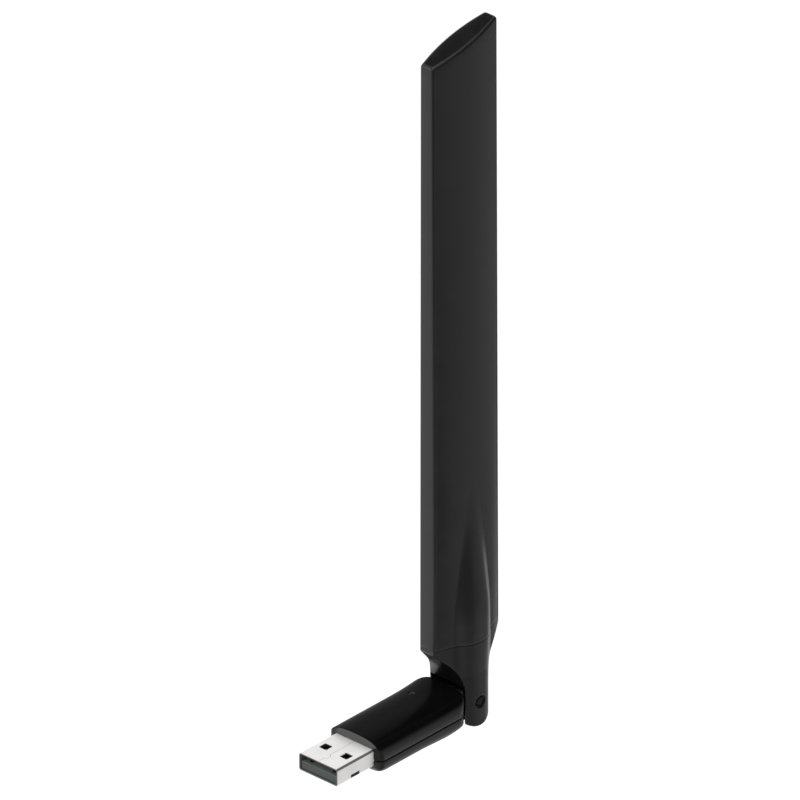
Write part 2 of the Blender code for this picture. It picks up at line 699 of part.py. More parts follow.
def fork_profile():
    """The fork seen along X: round cheek ends, straight cheeks and shoulders that curve out to the blade."""
    meet = math.acos(CHEEK_HALF_WIDTH / CHEEK_RADIUS)
    end = arc(CHEEK_RADIUS, -math.pi + meet, -meet, 14)
    beyond = BLADE_WIDTH / 2 + SLEEVE_WALL
    root = np.array((CHEEK_HALF_WIDTH, SHOULDER_BOTTOM))
    lean = np.array((BLADE_WIDTH / 2, SHOULDER_TOP)) - root
    lean = lean / np.linalg.norm(lean)
    share = np.linspace(0, 1, 5)[:, np.newaxis]
    bend = root + SHOULDER_EASE * (share**2 * lean - (1 - share) ** 2 * np.array((0.0, 1.0)))
    wing = [(BLADE_WIDTH / 2, SHOULDER_TOP), (beyond, SHOULDER_TOP), (beyond, SLEEVE_FOOT - SLEEVE_GAP)]
    right = np.vstack((bend, wing))
    left = right[::-1] * (-1, 1)
    return np.vstack((end, right, left))


def make_fork(antenna):
    levels = (-CHEEK_RADIUS - CHEEK_GAP, SHOULDER_BOTTOM, SLEEVE_FOOT)
    radii = (NECK_RADIUS, NECK_RADIUS, FAIRING_FOOT_RADIUS)
    rings = [blade_ring(z, radius) for z, radius in zip(levels, radii)]
    fork = loft("antenna_fork", rings, antenna, "satin_black")
    combine(fork, "INTERSECT", prism("fork_profile", fork_profile(), "X", -FAR, FAR, antenna))
    half = SLOT_WIDTH / 2
    cut(fork, block("fork_slot", (-half, -FAR, -FAR), (half, FAR, CROTCH), antenna))
    spigot = rounded_rectangle(SPIGOT_THICKNESS, SPIGOT_WIDTH, SPIGOT_THICKNESS / 4, 3)
    root = SLEEVE_FOOT - SPIGOT_ROOT
    top = SLEEVE_FOOT + SPIGOT_HEIGHT
    join(fork, prism("fork_spigot", spigot, "Z", root, top, antenna))
    thickness = AERIAL_BOARD_THICKNESS / 2 + FIT_GAP
    width = AERIAL_BOARD_WIDTH / 2 + FIT_GAP
    low = (-thickness, -width, AERIAL_BOARD_FOOT - FIT_GAP)
    cut(fork, block("aerial_board_slot", low, (thickness, width, FAR), antenna))
    duct_low = (-COAX_DUCT, -COAX_DUCT, 0.0)
    duct_high = (COAX_ON_AERIAL_X + COAX_RADIUS + FIT_GAP, COAX_DUCT, FAR)
    cut(fork, block("fork_cable_duct", duct_low, duct_high, antenna))
    bore = circle(PIN_RADIUS + PIN_CLEARANCE, 20)
    cut(fork, prism("fork_pin_bore", bore, "X", -FAR, FAR, antenna))
    pocket = circle(PIN_POCKET_RADIUS, 20)
    for side, word in ((-1, "left"), (1, "right")):
        low, high = sorted((side * (NECK_RADIUS - PIN_POCKET_DEPTH), side * FAR))
        cut(fork, prism("pin_pocket_" + word, pocket, "X", low, high, antenna))


def make_pins(antenna):
    outer = NECK_RADIUS - PIN_RECESS
    for side, word in ((-1, "left"), (1, "right")):
        low, high = sorted((side * PIN_INNER_END, side * outer))
        prism("hinge_pin_" + word, circle(PIN_RADIUS, 20), "X", low, high, antenna, "black_steel")


def make_aerial(antenna):
    half = AERIAL_BOARD_THICKNESS / 2
    width = AERIAL_BOARD_WIDTH / 2
    top = AERIAL_BOARD_FOOT + AERIAL_BOARD_LENGTH
    low = (-half, -width, AERIAL_BOARD_FOOT)
    block("antenna_board", low, (half, width, top), antenna, "green_laminate")
    face = -half - SOLDER_GAP
    for side, word in ((-1, "lower"), (1, "upper")):
        near = FEED_HEIGHT + side * ARM_SPLIT / 2
        bottom, top = sorted((near, near + side * ARM_LENGTH))
        low = (face - ARM_THICKNESS, -ARM_WIDTH / 2, bottom)
        block("dipole_arm_" + word, low, (face, ARM_WIDTH / 2, top), antenna, "copper")


def make_antenna_cable(antenna):
    x = COAX_ON_AERIAL_X
    start = COAX_BEND + COAX_JOINT_GAP
    route = [
        (0.0, 0.0, start),
        (0.0, 0.0, CROTCH + 2 * COAX_BEND),
        (x, 0.0, AERIAL_BOARD_FOOT - COAX_BEND),
        (x, 0.0, SLEEVE_FOOT + SPIGOT_HEIGHT),
        (x, 0.0, FEED_HEIGHT),
    ]
    tube("coax_antenna_run", route, antenna, "cable_jacket")


def main():
    clear_scene()
    body = empty("adapter_body", (0.0, 0.0, 0.0))
    antenna = empty("antenna_hinge", (0.0, HINGE_REACH, 0.0))
    make_plug_shell(body)
    make_insulator(body)
    make_contacts(body)
    make_shells(body)
    make_board(body)
    make_chips(body)
    make_light_pipe(body)
    make_body_cable(body)
    make_bend_cable(body)
    make_sleeve(antenna)
    make_fork(antenna)
    make_pins(antenna)
    make_aerial(antenna)
    make_antenna_cable(antenna)


main()
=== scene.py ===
import json
import math

import bmesh
import bpy
import numpy as np
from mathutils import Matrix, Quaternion, Vector


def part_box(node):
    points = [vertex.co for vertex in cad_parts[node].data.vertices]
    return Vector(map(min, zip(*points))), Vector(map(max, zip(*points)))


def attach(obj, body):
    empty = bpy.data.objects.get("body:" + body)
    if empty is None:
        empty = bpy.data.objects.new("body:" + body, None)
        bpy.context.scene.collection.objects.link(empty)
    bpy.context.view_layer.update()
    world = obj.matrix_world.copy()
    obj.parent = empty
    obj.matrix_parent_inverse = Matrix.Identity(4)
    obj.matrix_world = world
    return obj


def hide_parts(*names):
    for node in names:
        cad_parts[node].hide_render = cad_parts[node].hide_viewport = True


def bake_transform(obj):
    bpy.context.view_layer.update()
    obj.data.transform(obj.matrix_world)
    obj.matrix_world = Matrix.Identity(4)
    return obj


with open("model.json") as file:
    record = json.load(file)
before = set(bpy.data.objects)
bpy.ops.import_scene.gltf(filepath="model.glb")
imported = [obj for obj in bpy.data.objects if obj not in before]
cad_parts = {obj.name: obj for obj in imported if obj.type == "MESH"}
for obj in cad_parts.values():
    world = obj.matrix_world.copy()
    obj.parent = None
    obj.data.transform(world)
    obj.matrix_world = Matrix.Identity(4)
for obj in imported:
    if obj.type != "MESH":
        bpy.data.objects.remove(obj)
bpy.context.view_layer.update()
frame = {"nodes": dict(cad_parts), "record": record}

mm = 0.001
record = frame["record"]
hinge = np.array(record["behaviour"]["joints"][0]["pos_m"]) / mm   # hinge centre, mm
print("frame loaded, hinge at", hinge.round(2), "mm")


# shared helpers

def nodeBox(node):   # corners of a CAD node in mm
    low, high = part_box(node)
    return np.array(low) / mm, np.array(high) / mm


def softMin(a, b, k):   # smaller of two distances, with the corner between them rounded over a width k
    h = np.maximum(k - np.abs(a - b), 0.0) / k
    return np.minimum(a, b) - h * h * k / 4


def softMax(a, b, k):   # larger of two distances, rounded the same way
    return -softMin(-a, -b, k)


def addMesh(name, points, faces, normals=None):
    # points in mm go into a new object that sits at the origin
    mesh = bpy.data.meshes.new(name)
    mesh.from_pydata(np.asarray(points) * mm, [], faces)
    mesh.validate()
    mesh.shade_smooth()
    if normals is not None:
        mesh.normals_split_custom_set_from_vertices(normals)
    obj = bpy.data.objects.new(name, mesh)
    bpy.context.scene.collection.objects.link(obj)
    return obj


def faceOutwards(obj, sharpAngle=40):
    shape = bmesh.new()
    shape.from_mesh(obj.data)
    bmesh.ops.recalc_face_normals(shape, faces=shape.faces)
    shape.to_mesh(obj.data)
    shape.free()
    obj.data.shade_smooth()
    obj.data.set_sharp_from_angle(angle=math.radians(sharpAngle))


def slopeOf(distance, p, reach=0.01):
    # central differences of a distance function at each point
    parts = []
    for axis in range(3):
        step = np.zeros(3)
        step[axis] = reach
        ahead, behind = p + step, p - step
        parts.append((distance(*ahead.T) - distance(*behind.T)) / (2 * reach))
    return np.stack(parts, axis=1)


def settle(distance, p, limit, leastSlope=0.05):
    # moves each point along the slope to where the distance is zero
    slope = slopeOf(distance, p)
    size = np.maximum((slope ** 2).sum(axis=1), leastSlope)
    move = distance(*p.T) / size
    return p - np.clip(move, -limit, limit)[:, None] * slope


def neighbourMean(p, quads):
    # average of each point's neighbours along the quads' edges
    a = np.concatenate([quads[:, i] for i in range(4)])
    b = np.concatenate([quads[:, (i + 1) % 4] for i in range(4)])
    count = np.bincount(a, minlength=len(p)) + np.bincount(b, minlength=len(p))
    total = [np.bincount(a, p[b, i], len(p)) + np.bincount(b, p[a, i], len(p)) for i in range(3)]
    return np.stack(total, axis=1) / np.maximum(count, 1)[:, None]


def skinOf(name, distance, low, high, step, rounds=3):
    # A moulded piece as the zero level of a distance function: one point in each grid cell that the
    # surface crosses, a quad across each crossed grid edge, then the points are evened out and settled.
    lines = [np.arange(a - 2 * step, b + 3 * step, step) for a, b in zip(low, high)]
    grid = np.meshgrid(*lines, indexing="ij", sparse=True)
    field = np.broadcast_to(distance(*grid), [len(line) for line in lines])
    inside = field < 0
    cells = tuple(size - 1 for size in field.shape)
    offsets = [(i, j, k) for i in (0, 1) for j in (0, 1) for k in (0, 1)]

    def corner(values, i, j, k):
        return values[i:i + cells[0], j:j + cells[1], k:k + cells[2]]

    filled = sum(corner(inside, *o).astype(np.int8) for o in offsets)
    crossed = (filled > 0) & (filled < 8)
    ids = np.full(cells, -1)
    ids[crossed] = np.arange(crossed.sum())
    values = np.stack([corner(field, *o)[crossed] for o in offsets], axis=1)
    places = np.array(offsets, float)
    total, count = 0.0, 0.0
    for a in range(8):
        for b in range(a + 1, 8):
            if np.abs(places[a] - places[b]).sum() > 1:
                continue
            cut = (values[:, a] < 0) != (values[:, b] < 0)
            share = np.where(cut, values[:, a] / np.where(cut, values[:, a] - values[:, b], 1.0), 0.0)
            total = total + cut[:, None] * (places[a] + share[:, None] * (places[b] - places[a]))
            count = count + cut
    p = (np.argwhere(crossed) + total / count[:, None]) * step + np.array([line[0] for line in lines])

    quads = []
    for turn in ((0, 1, 2), (1, 2, 0), (2, 0, 1)):
        solid = inside.transpose(turn)
        cell = ids.transpose(turn)
        change = (solid[:-1] != solid[1:])[:, 1:-1, 1:-1]
        ring = [cell[:, :-1, :-1], cell[:, 1:, :-1], cell[:, 1:, 1:], cell[:, :-1, 1:]]
        faces = np.stack(ring, axis=-1)[change]
        outward = solid[:-1, 1:-1, 1:-1][change]
        quads.append(np.where(outward[:, None], faces, faces[:, ::-1]))
    quads = np.concatenate(quads)
    for _ in range(rounds):
        p = 0.5 * p + 0.5 * neighbourMean(p, quads)
        p = settle(distance, p, step)
    p = settle(distance, p, step)
    normals = slopeOf(distance, p)
    normals /= np.maximum(np.linalg.norm(normals, axis=1), 1e-9)[:, None]
    obj = addMesh(name, p, quads.tolist(), normals)
    print(name, len(quads), "quads")
    return obj


def bandFaces(rings, around):   # quads between rings of equal length
    i, j = np.meshgrid(np.arange(rings - 1), np.arange(around), indexing="ij")
    k = (j + 1) % around
    here, there = i * around, (i + 1) * around
    faces = np.stack([here + j, here + k, there + k, there + j], axis=-1)
    return faces.reshape(-1, 4).tolist()


def ringStack(name, rings, sharpAngle=40):
    # a stack of rings, shape (count, around, 3), closed by a flat face at each end
    count, around = rings.shape[:2]
    faces = bandFaces(count, around)
    faces += [list(range(around)), list(range((count - 1) * around, count * around))]
    obj = addMesh(name, rings.reshape(-1, 3), faces)
    faceOutwards(obj, sharpAngle)
    return obj


def turned(name, profile, axis, centre, around=48):
    # a profile of (along, radius) turned about an axis: radius times cos and sin of the angle
    profile = np.asarray(profile, float)
    angle = np.arange(around) * 2 * math.pi / around
    along = np.repeat(profile[:, :1], around, axis=1)
    rings = np.zeros((len(profile), around, 3))
    order = [axis, (axis + 1) % 3, (axis + 2) % 3]
    radius = profile[:, 1:]
    for slot, value in zip(order, (along, radius * np.cos(angle), radius * np.sin(angle))):
        rings[..., slot] = value
    return ringStack(name, rings + np.asarray(centre), sharpAngle=50)


def smoothRoute(route, perSpan=12):
    # cubic through the points, each tangent along the line between its neighbours
    route = np.asarray(route, float)
    before = np.vstack((2 * route[0] - route[1], route[:-1]))
    after = np.vstack((route[1:], 2 * route[-1] - route[-2]))
    slope = (after - before) / np.linalg.norm(after - before, axis=1)[:, None]
    span = np.linalg.norm(np.diff(route, axis=0), axis=1)[:, None, None]
    t = np.linspace(0, 1, perSpan, endpoint=False)[None, :, None]
    a, b = route[:-1, None], route[1:, None]
    place = (2 * t ** 3 - 3 * t ** 2 + 1) * a + (3 * t ** 2 - 2 * t ** 3) * b
    bend = (t ** 3 - 2 * t ** 2 + t) * slope[:-1, None] + (t ** 3 - t ** 2) * slope[1:, None]
    return np.vstack(((place + bend * span).reshape(-1, 3), route[-1:]))


def sweep(name, path, outline, side=(1.0, 0.0, 0.0)):
    # an outline of (across, up) carried along a path whose across direction stays near one side vector
    path = np.asarray(path, float)
    along = np.gradient(path, axis=0)
    along /= np.linalg.norm(along, axis=1)[:, None]
    across = np.asarray(side) - (along @ np.asarray(side))[:, None] * along
    across /= np.linalg.norm(across, axis=1)[:, None]
    up = np.cross(across, along)
    outline = np.asarray(outline)
    rings = path[:, None] + outline[None, :, :1] * across[:, None] + outline[None, :, 1:] * up[:, None]
    return ringStack(name, rings, sharpAngle=50)


def roundOutline(radius, sides=20):
    angle = np.arange(sides) * 2 * math.pi / sides
    return np.column_stack((radius * np.cos(angle), radius * np.sin(angle)))


def roundedBar(width, height, radius, steps=4):   # rounded rectangle, anticlockwise
    turn = np.linspace(0, math.pi / 2, steps + 1)
    corners = []
    for i, (sx, sy) in enumerate(((1, 1), (-1, 1), (-1, -1), (1, -1))):
        angle = turn + i * math.pi / 2
        x = sx * (width / 2 - radius) + radius * np.cos(angle)
        y = sy * (height / 2 - radius) + radius * np.sin(angle)
        corners.append(np.column_stack((x, y)))
    return np.vstack(corners)


def barGap(a, b, halfA, halfB, radius):   # signed distance to a rounded rectangle about the origin
    u = np.abs(a) - halfA + radius
    v = np.abs(b) - halfB + radius
    return np.hypot(np.maximum(u, 0), np.maximum(v, 0)) + np.minimum(np.maximum(u, v), 0) - radius


def belongs(piece, body, slot, finish, *nodes):   # one place for what each piece stands for
    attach(piece, body)
    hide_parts(*nodes)
    piece.data.materials.clear()
    piece.data.materials.append(finish)
    return piece


# finishes

def linearColour(hexCode):   # sRGB hex to linear RGBA
    srgb = np.array([int(hexCode[i:i + 2], 16) for i in (1, 3, 5)]) / 255
    linear = np.where(srgb <= 0.04045, srgb / 12.92, ((srgb + 0.055) / 1.055) ** 2.4)
    return (*linear.tolist(), 1.0)


def addNode(tree, kind, inputs=None, **settings):   # adds a node with its settings, values and links
    node = tree.nodes.new(kind)
    for key, value in settings.items():
        setattr(node, key, value)
    for key, value in (inputs or {}).items():
        if isinstance(value, bpy.types.NodeSocket):
            tree.links.new(value, node.inputs[key])
        else:
            node.inputs[key].default_value = value
    return node


def reckon(tree, operation, *values):   # one step of arithmetic on numbers or sockets
    node = addNode(tree, "ShaderNodeMath", dict(enumerate(values)), operation=operation)
    return node.outputs["Value"]


def newFinish(name, **values):   # a Principled material with plain values on the shader's own sockets
    finish = bpy.data.materials.new(name)
    finish.use_nodes = True
    tree = finish.node_tree
    shader = tree.nodes["Principled BSDF"]
    for key, value in values.items():
        socket = key.replace("_", " ")
        if isinstance(value, str):
            value = linearColour(value)
        shader.inputs[socket].default_value = value
    place = addNode(tree, "ShaderNodeTexCoord").outputs["Object"]
    return finish, tree, shader, place


def perMetre(sizeMm):   # texture scale whose features are about this many mm across
    return 1.0 / (sizeMm * mm)


def speckle(tree, place, sizeMm, detail=2.0, stretch=None):   # noise of a real grain size
    if stretch is not None:
        mapping = addNode(tree, "ShaderNodeMapping", {"Vector": place, "Scale": stretch})
        place = mapping.outputs["Vector"]
    settings = {"Vector": place, "Scale": perMetre(sizeMm), "Detail": detail, "Roughness": 0.55}
    return addNode(tree, "ShaderNodeTexNoise", settings).outputs["Fac"]


def spread(tree, value, low, high, fromLow=0.3, fromHigh=0.7):   # maps noise to a range of values
    settings = {"Value": value, "From Min": fromLow, "From Max": fromHigh,
                "To Min": low, "To Max": high}
    return addNode(tree, "ShaderNodeMapRange", settings).outputs["Result"]


def tint(tree, value, dark, light, ends=(0.35, 0.65)):   # noise between two colours
    ramp = addNode(tree, "ShaderNodeValToRGB", {"Fac": value})
    for stop, position, colour in zip(ramp.color_ramp.elements, ends, (dark, light)):
        stop.position = position
        stop.color = linearColour(colour)
    return ramp.outputs["Color"]


def mixOf(tree, share, first, second, kind="FLOAT"):   # plain mix of two values or colours
    node = addNode(tree, "ShaderNodeMix", {0: share}, data_type=kind)
    sockets = [s for s in node.inputs if s.enabled and s.name in ("A", "B")]
    for socket, value in zip(sockets, (first, second)):
        if isinstance(value, bpy.types.NodeSocket):
            tree.links.new(value, socket)
        else:
            socket.default_value = value
    return next(s for s in node.outputs if s.enabled)


def relief(tree, shader, height, depthMm, strength=1.0):   # bump of a real depth
    settings = {"Height": height, "Distance": depthMm * mm, "Strength": strength}
    bump = addNode(tree, "ShaderNodeBump", settings)
    tree.links.new(bump.outputs["Normal"], shader.inputs["Normal"])


# moulded satin ABS: a fine spark-eroded grain that scatters the light into a soft grey sheen
def satinAbs(name, dark="#0f0f10", light="#141415", sheen=0.4, middleSheen=None, middleEnds=(5.5, 8.0)):
    finish, tree, shader, place = newFinish(name, IOR=1.5, Specular_IOR_Level=sheen)
    if middleSheen is not None:   # duller down the middle, within a few mm of the hinge's line
        spot = addNode(tree, "ShaderNodeSeparateXYZ", {"Vector": place}).outputs
        off = reckon(tree, "ABSOLUTE", reckon(tree, "SUBTRACT", spot["Y"], hinge[1] * mm))
        shine = spread(tree, off, middleSheen, sheen, *(v * mm for v in middleEnds))
        tree.links.new(shine, shader.inputs["Specular IOR Level"])
    grain = speckle(tree, place, 0.16)   # real grit is near 0.03 mm, drawn coarser so that it shows
    patch = speckle(tree, place, 6.0, 3.0)
    tree.links.new(tint(tree, patch, dark, light), shader.inputs["Base Color"])
    tree.links.new(spread(tree, patch, 0.29, 0.36), shader.inputs["Roughness"])
    relief(tree, shader, grain, 0.010, 0.3)
    return finish


# where the front lip carries a painted reflection of the plug's top, in mm: above a line that drops past
# the shoulder, and not at the left end
paintedLipReflection = {"shoulder": 5.6, "shoulderFall": -0.8, "heights": (1.9, 2.4), "leftEnd": (-6.5, -4.8)}


# upper shell: a polished deep black top with faint handling haze, and satin flanks and front lip; the
# lip's pale grey is a painted reflection of the plug's top
def polishedTopAbs():
    finish, tree, shader, place = newFinish("polished and satin ABS", IOR=1.5)
    facing = addNode(tree, "ShaderNodeTexCoord").outputs["Normal"]
    ways = addNode(tree, "ShaderNodeSeparateXYZ", {"Vector": facing}).outputs
    polish = spread(tree, ways["Z"], 0.0, 1.0, 0.34, 0.66)
    paintedReflection = spread(tree, ways["Y"], 1.0, 0.0, -0.75, -0.35)
    spot = addNode(tree, "ShaderNodeSeparateXYZ", {"Vector": place}).outputs
    beside = reckon(tree, "SUBTRACT", spot["X"], paintedLipReflection["shoulder"] * mm)
    beside = reckon(tree, "MAXIMUM", beside, 0.0)
    height = reckon(tree, "MULTIPLY_ADD", beside, paintedLipReflection["shoulderFall"], spot["Z"])
    # painted reflection: the lip is pale only where its face would mirror the plug's top
    above = spread(tree, height, 0.0, 1.0, *(v * mm for v in paintedLipReflection["heights"]))
    across = spread(tree, spot["X"], 0.0, 1.0, *(v * mm for v in paintedLipReflection["leftEnd"]))
    paintedReflection = reckon(tree, "MULTIPLY", reckon(tree, "MULTIPLY", paintedReflection, above), across)
    front = spread(tree, ways["Y"], 1.0, 0.0, -0.5, -0.05)
    polish = reckon(tree, "MULTIPLY", polish, reckon(tree, "SUBTRACT", 1.0, paintedReflection))
    haze = speckle(tree, place, 3.0, 4.0)
    # the pale grey #565658 on the lip is a painted reflection, mixed into the satin flank colour
    flankAndReflection = mixOf(tree, paintedReflection, tint(tree, haze, "#111112", "#151516"), linearColour("#565658"), "RGBA")
    colour = mixOf(tree, polish, flankAndReflection, tint(tree, haze, "#0a0a0b", "#0d0d0e"), "RGBA")
    tree.links.new(colour, shader.inputs["Base Color"])
    smooth = spread(tree, haze, 0.20, 0.28)
    rough = spread(tree, haze, 0.34, 0.42)
    tree.links.new(mixOf(tree, polish, rough, smooth), shader.inputs["Roughness"])
    flankShine = mixOf(tree, front, 0.46, 0.2)
    tree.links.new(mixOf(tree, polish, flankShine, 0.02), shader.inputs["Specular IOR Level"])
    grain = mixOf(tree, polish, speckle(tree, place, 0.16), 0.5)
    relief(tree, shader, grain, 0.010, 0.3)
    return finish


# bright nickel on rolled sheet: pale mirror metal with a faint drawn grain along the plug, with painted
# shade and a painted dark reflection in dark grey
def nickelPlate():
    finish, tree, shader, place = newFinish("bright nickel plate", Metallic=0.22)
    grain = speckle(tree, place, 0.5, 3.0, (6.0, 0.35, 6.0))
    cloud = speckle(tree, place, 4.0, 2.0)
    facing = addNode(tree, "ShaderNodeTexCoord").outputs["Normal"]
    ways = addNode(tree, "ShaderNodeSeparateXYZ", {"Vector": facing}).outputs
    rim = spread(tree, ways["Y"], 1.0, 0.0, -0.6, -0.15)   # the front-facing sheet edges are dark grey, partly bare cut steel and partly painted shade
    least = reckon(tree, "MINIMUM", ways["X"], ways["Z"])
    fold = spread(tree, least, 0.0, 1.0, 0.1, 0.4)   # the right-hand fold is painted dark, a painted dark reflection along the corner
    across = addNode(tree, "ShaderNodeVectorMath", {0: place, 1: (1, 0, 1)}, operation="MULTIPLY")
    outward = addNode(tree, "ShaderNodeVectorMath", {0: across.outputs["Vector"], 1: facing},
                      operation="DOT_PRODUCT").outputs["Value"]
    inside = spread(tree, outward, 1.0, 0.0, -1.5 * mm, -0.5 * mm)   # the inner faces are painted dark grey as painted shade
    # one dark grey serves the cut edge, the painted shade and the painted dark reflection
    dark = reckon(tree, "MAXIMUM", reckon(tree, "MAXIMUM", rim, fold), inside)
    plate = tint(tree, cloud, "#f3f2f0", "#faf9f7")
    base = mixOf(tree, dark, plate, linearColour("#6c6a6c"), "RGBA")
    tree.links.new(base, shader.inputs["Base Color"])
    tree.links.new(spread(tree, grain, 0.38, 0.46), shader.inputs["Roughness"])
    relief(tree, shader, grain, 0.003, 0.3)
    return finish


# glass-filled nylon: a flat dark grey moulding with a slightly greenish cast
def filledNylon():
    finish, tree, shader, place = newFinish("glass filled nylon", IOR=1.53)
    fibre = speckle(tree, place, 0.25, 3.0, (1.0, 0.4, 1.0))
    facing = addNode(tree, "ShaderNodeTexCoord").outputs["Normal"]
    upward = addNode(tree, "ShaderNodeSeparateXYZ", {"Vector": facing}).outputs["Z"]
    paintedTopLight = spread(tree, upward, 0.0, 1.0, 0.3, 0.9)   # the top faces are painted paler, as painted light falling on the tongue's top
    base = mixOf(tree, paintedTopLight, tint(tree, fibre, "#2f3635", "#3b4341"), linearColour("#74807c"), "RGBA")
    tree.links.new(base, shader.inputs["Base Color"])
    tree.links.new(spread(tree, fibre, 0.45, 0.58), shader.inputs["Roughness"])
    relief(tree, shader, fibre, 0.008, 0.4)
    return finish


# gold flash over nickel: warm yellow contacts with wiping marks along their length
def goldFlash():
    finish, tree, shader, place = newFinish("gold flash", Metallic=1.0)
    wipe = speckle(tree, place, 0.3, 3.0, (8.0, 0.3, 8.0))
    tree.links.new(tint(tree, wipe, "#b08a45", "#c6a158"), shader.inputs["Base Color"])
    tree.links.new(spread(tree, wipe, 0.18, 0.34), shader.inputs["Roughness"])
    return finish


# turned steel, blackened: dark stub pins with fine lathe rings
def turnedSteel():
    finish, tree, shader, place = newFinish("blackened turned steel", Metallic=1.0)
    rings = speckle(tree, place, 0.12, 2.0)
    tree.links.new(tint(tree, rings, "#18181a", "#222224"), shader.inputs["Base Color"])
    tree.links.new(spread(tree, rings, 0.30, 0.45), shader.inputs["Roughness"])
    relief(tree, shader, rings, 0.004, 0.4)
    return finish


# glass-epoxy laminate under green solder mask: woven cloth shows as a faint square texture
def maskedLaminate():
    finish, tree, shader, place = newFinish("masked glass laminate", IOR=1.55, Coat_Weight=0.3)
    threads = {"Vector": place, "Scale": perMetre(3.0)}
    weaves = [addNode(tree, "ShaderNodeTexWave", threads, bands_direction=way) for way in ("Y", "Z")]
    weave = reckon(tree, "MULTIPLY", *(node.outputs["Fac"] for node in weaves))
    tree.links.new(tint(tree, weave, "#0f3d24", "#164a2d"), shader.inputs["Base Color"])
    tree.links.new(spread(tree, weave, 0.32, 0.42, 0.0, 1.0), shader.inputs["Roughness"])
    return finish


# small moulded, fired or pressed parts: flat colour broken by a fine grain
def smallPart(name, dark, light, low, high, grainMm=0.2, **values):
    finish, tree, shader, place = newFinish(name, **values)
    grain = speckle(tree, place, grainMm, 3.0)
    tree.links.new(tint(tree, grain, dark, light), shader.inputs["Base Color"])
    tree.links.new(spread(tree, grain, low, high), shader.inputs["Roughness"])
    relief(tree, shader, grain, 0.006, 0.4)
    return finish


finishes = {
    "nickel": nickelPlate(),
    "gold": goldFlash(),
    "copper": smallPart("etched copper foil", "#b36a45", "#c98257", 0.28, 0.42, Metallic=1.0),
    "gloss_black": polishedTopAbs(),
    "satin_black": satinAbs("satin ABS"),
    "dark_nylon": filledNylon(),
    "steel": smallPart("drawn steel can", "#a6a6a8", "#b8b8ba", 0.3, 0.42, Metallic=1.0),
    "black_steel": turnedSteel(),
    "green_laminate": maskedLaminate(),
    "chip_epoxy": smallPart("moulded epoxy", "#161617", "#1f1f20", 0.5, 0.65, IOR=1.55),
    "ferrite": smallPart("pressed ferrite", "#3a3a3b", "#48484a", 0.55, 0.7, IOR=1.6),
    "ceramic_tan": smallPart("fired ceramic", "#a5835f", "#b8956d", 0.4, 0.55, IOR=1.6),
    "clear_acrylic": smallPart("clear epoxy lens", "#c3c6ca", "#d3d6d9", 0.2, 0.3, IOR=1.52),
    "smoked_acrylic": smallPart("smoked acrylic", "#101012", "#161618", 0.25, 0.35,
                                IOR=1.49, Specular_IOR_Level=0.06),
    "cable_jacket": smallPart("FEP jacket", "#1f1f20", "#29292a", 0.38, 0.5, 0.4, IOR=1.35),
}
print("finishes ready:", len(finishes))


# housing: two shells about a parting line, with the hinge knuckle at the back

upperLow, upperHigh = nodeBox("upper_shell")
lowerLow, lowerHigh = nodeBox("lower_shell")
plugLow, plugHigh = nodeBox("plug_shell")
housing = {
    "halfWidth": upperHigh[0], "rise": 4.4, "drop": 4.15, "hump": 0.45, "humpLength": 11.0,
    "sag": 0.9, "sagLength": 16.0, "length": 31.1, "frontCorner": 1.8, "rearCorner": 4.3,
    "planHalf": 20.0, "frontEase": 0.5, "rearEase": 1.0, "baseEase": 0.8, "leastEase": 0.02,
    "frontUndercut": (1.3, 3.0), "rearUndercut": (3.0, 9.0), "undercutLimit": 0.985,
    "domePower": 2.8, "rearPower": 3.4, "basePower": 5.0, "wall": 1.2,
    "relief": 6.6, "reliefEase": 0.3, "cavityEnd": 28.2,
    "knuckleHalf": 4.9, "knuckleRadius": 4.3, "knuckleEase": 0.5, "knuckleStart": 0.6, "rootEase": 0.25,
    "pinBore": 1.28, "boreEase": 0.15, "ductRadius": 1.1, "slotStart": hinge[1] - 1.7, "slotEase": 0.2,
    "partingTop": upperLow[2], "partingBottom": lowerHigh[2], "partingEase": 0.2,
    "mouthGap": 0.03, "mouthDepth": 6.3, "mouthCorner": 0.85, "mouthEase": 0.12,
    "ledHole": 0.76, "ledEase": 0.12, "step": 0.19,
}


def nearHinge(y, length):   # share of the way along the last length of the housing, from none to one
    return np.maximum(1 - (housing["length"] - np.minimum(y, housing["length"])) / length, 0.0)


def roundOver(size, depth):
    # how far an elliptic edge of a height and length draws in, at a depth behind its face
    share = np.clip(1 - depth / size[1], 0.0, housing["undercutLimit"])
    return size[0] * (1 - np.sqrt(1 - share ** 2))


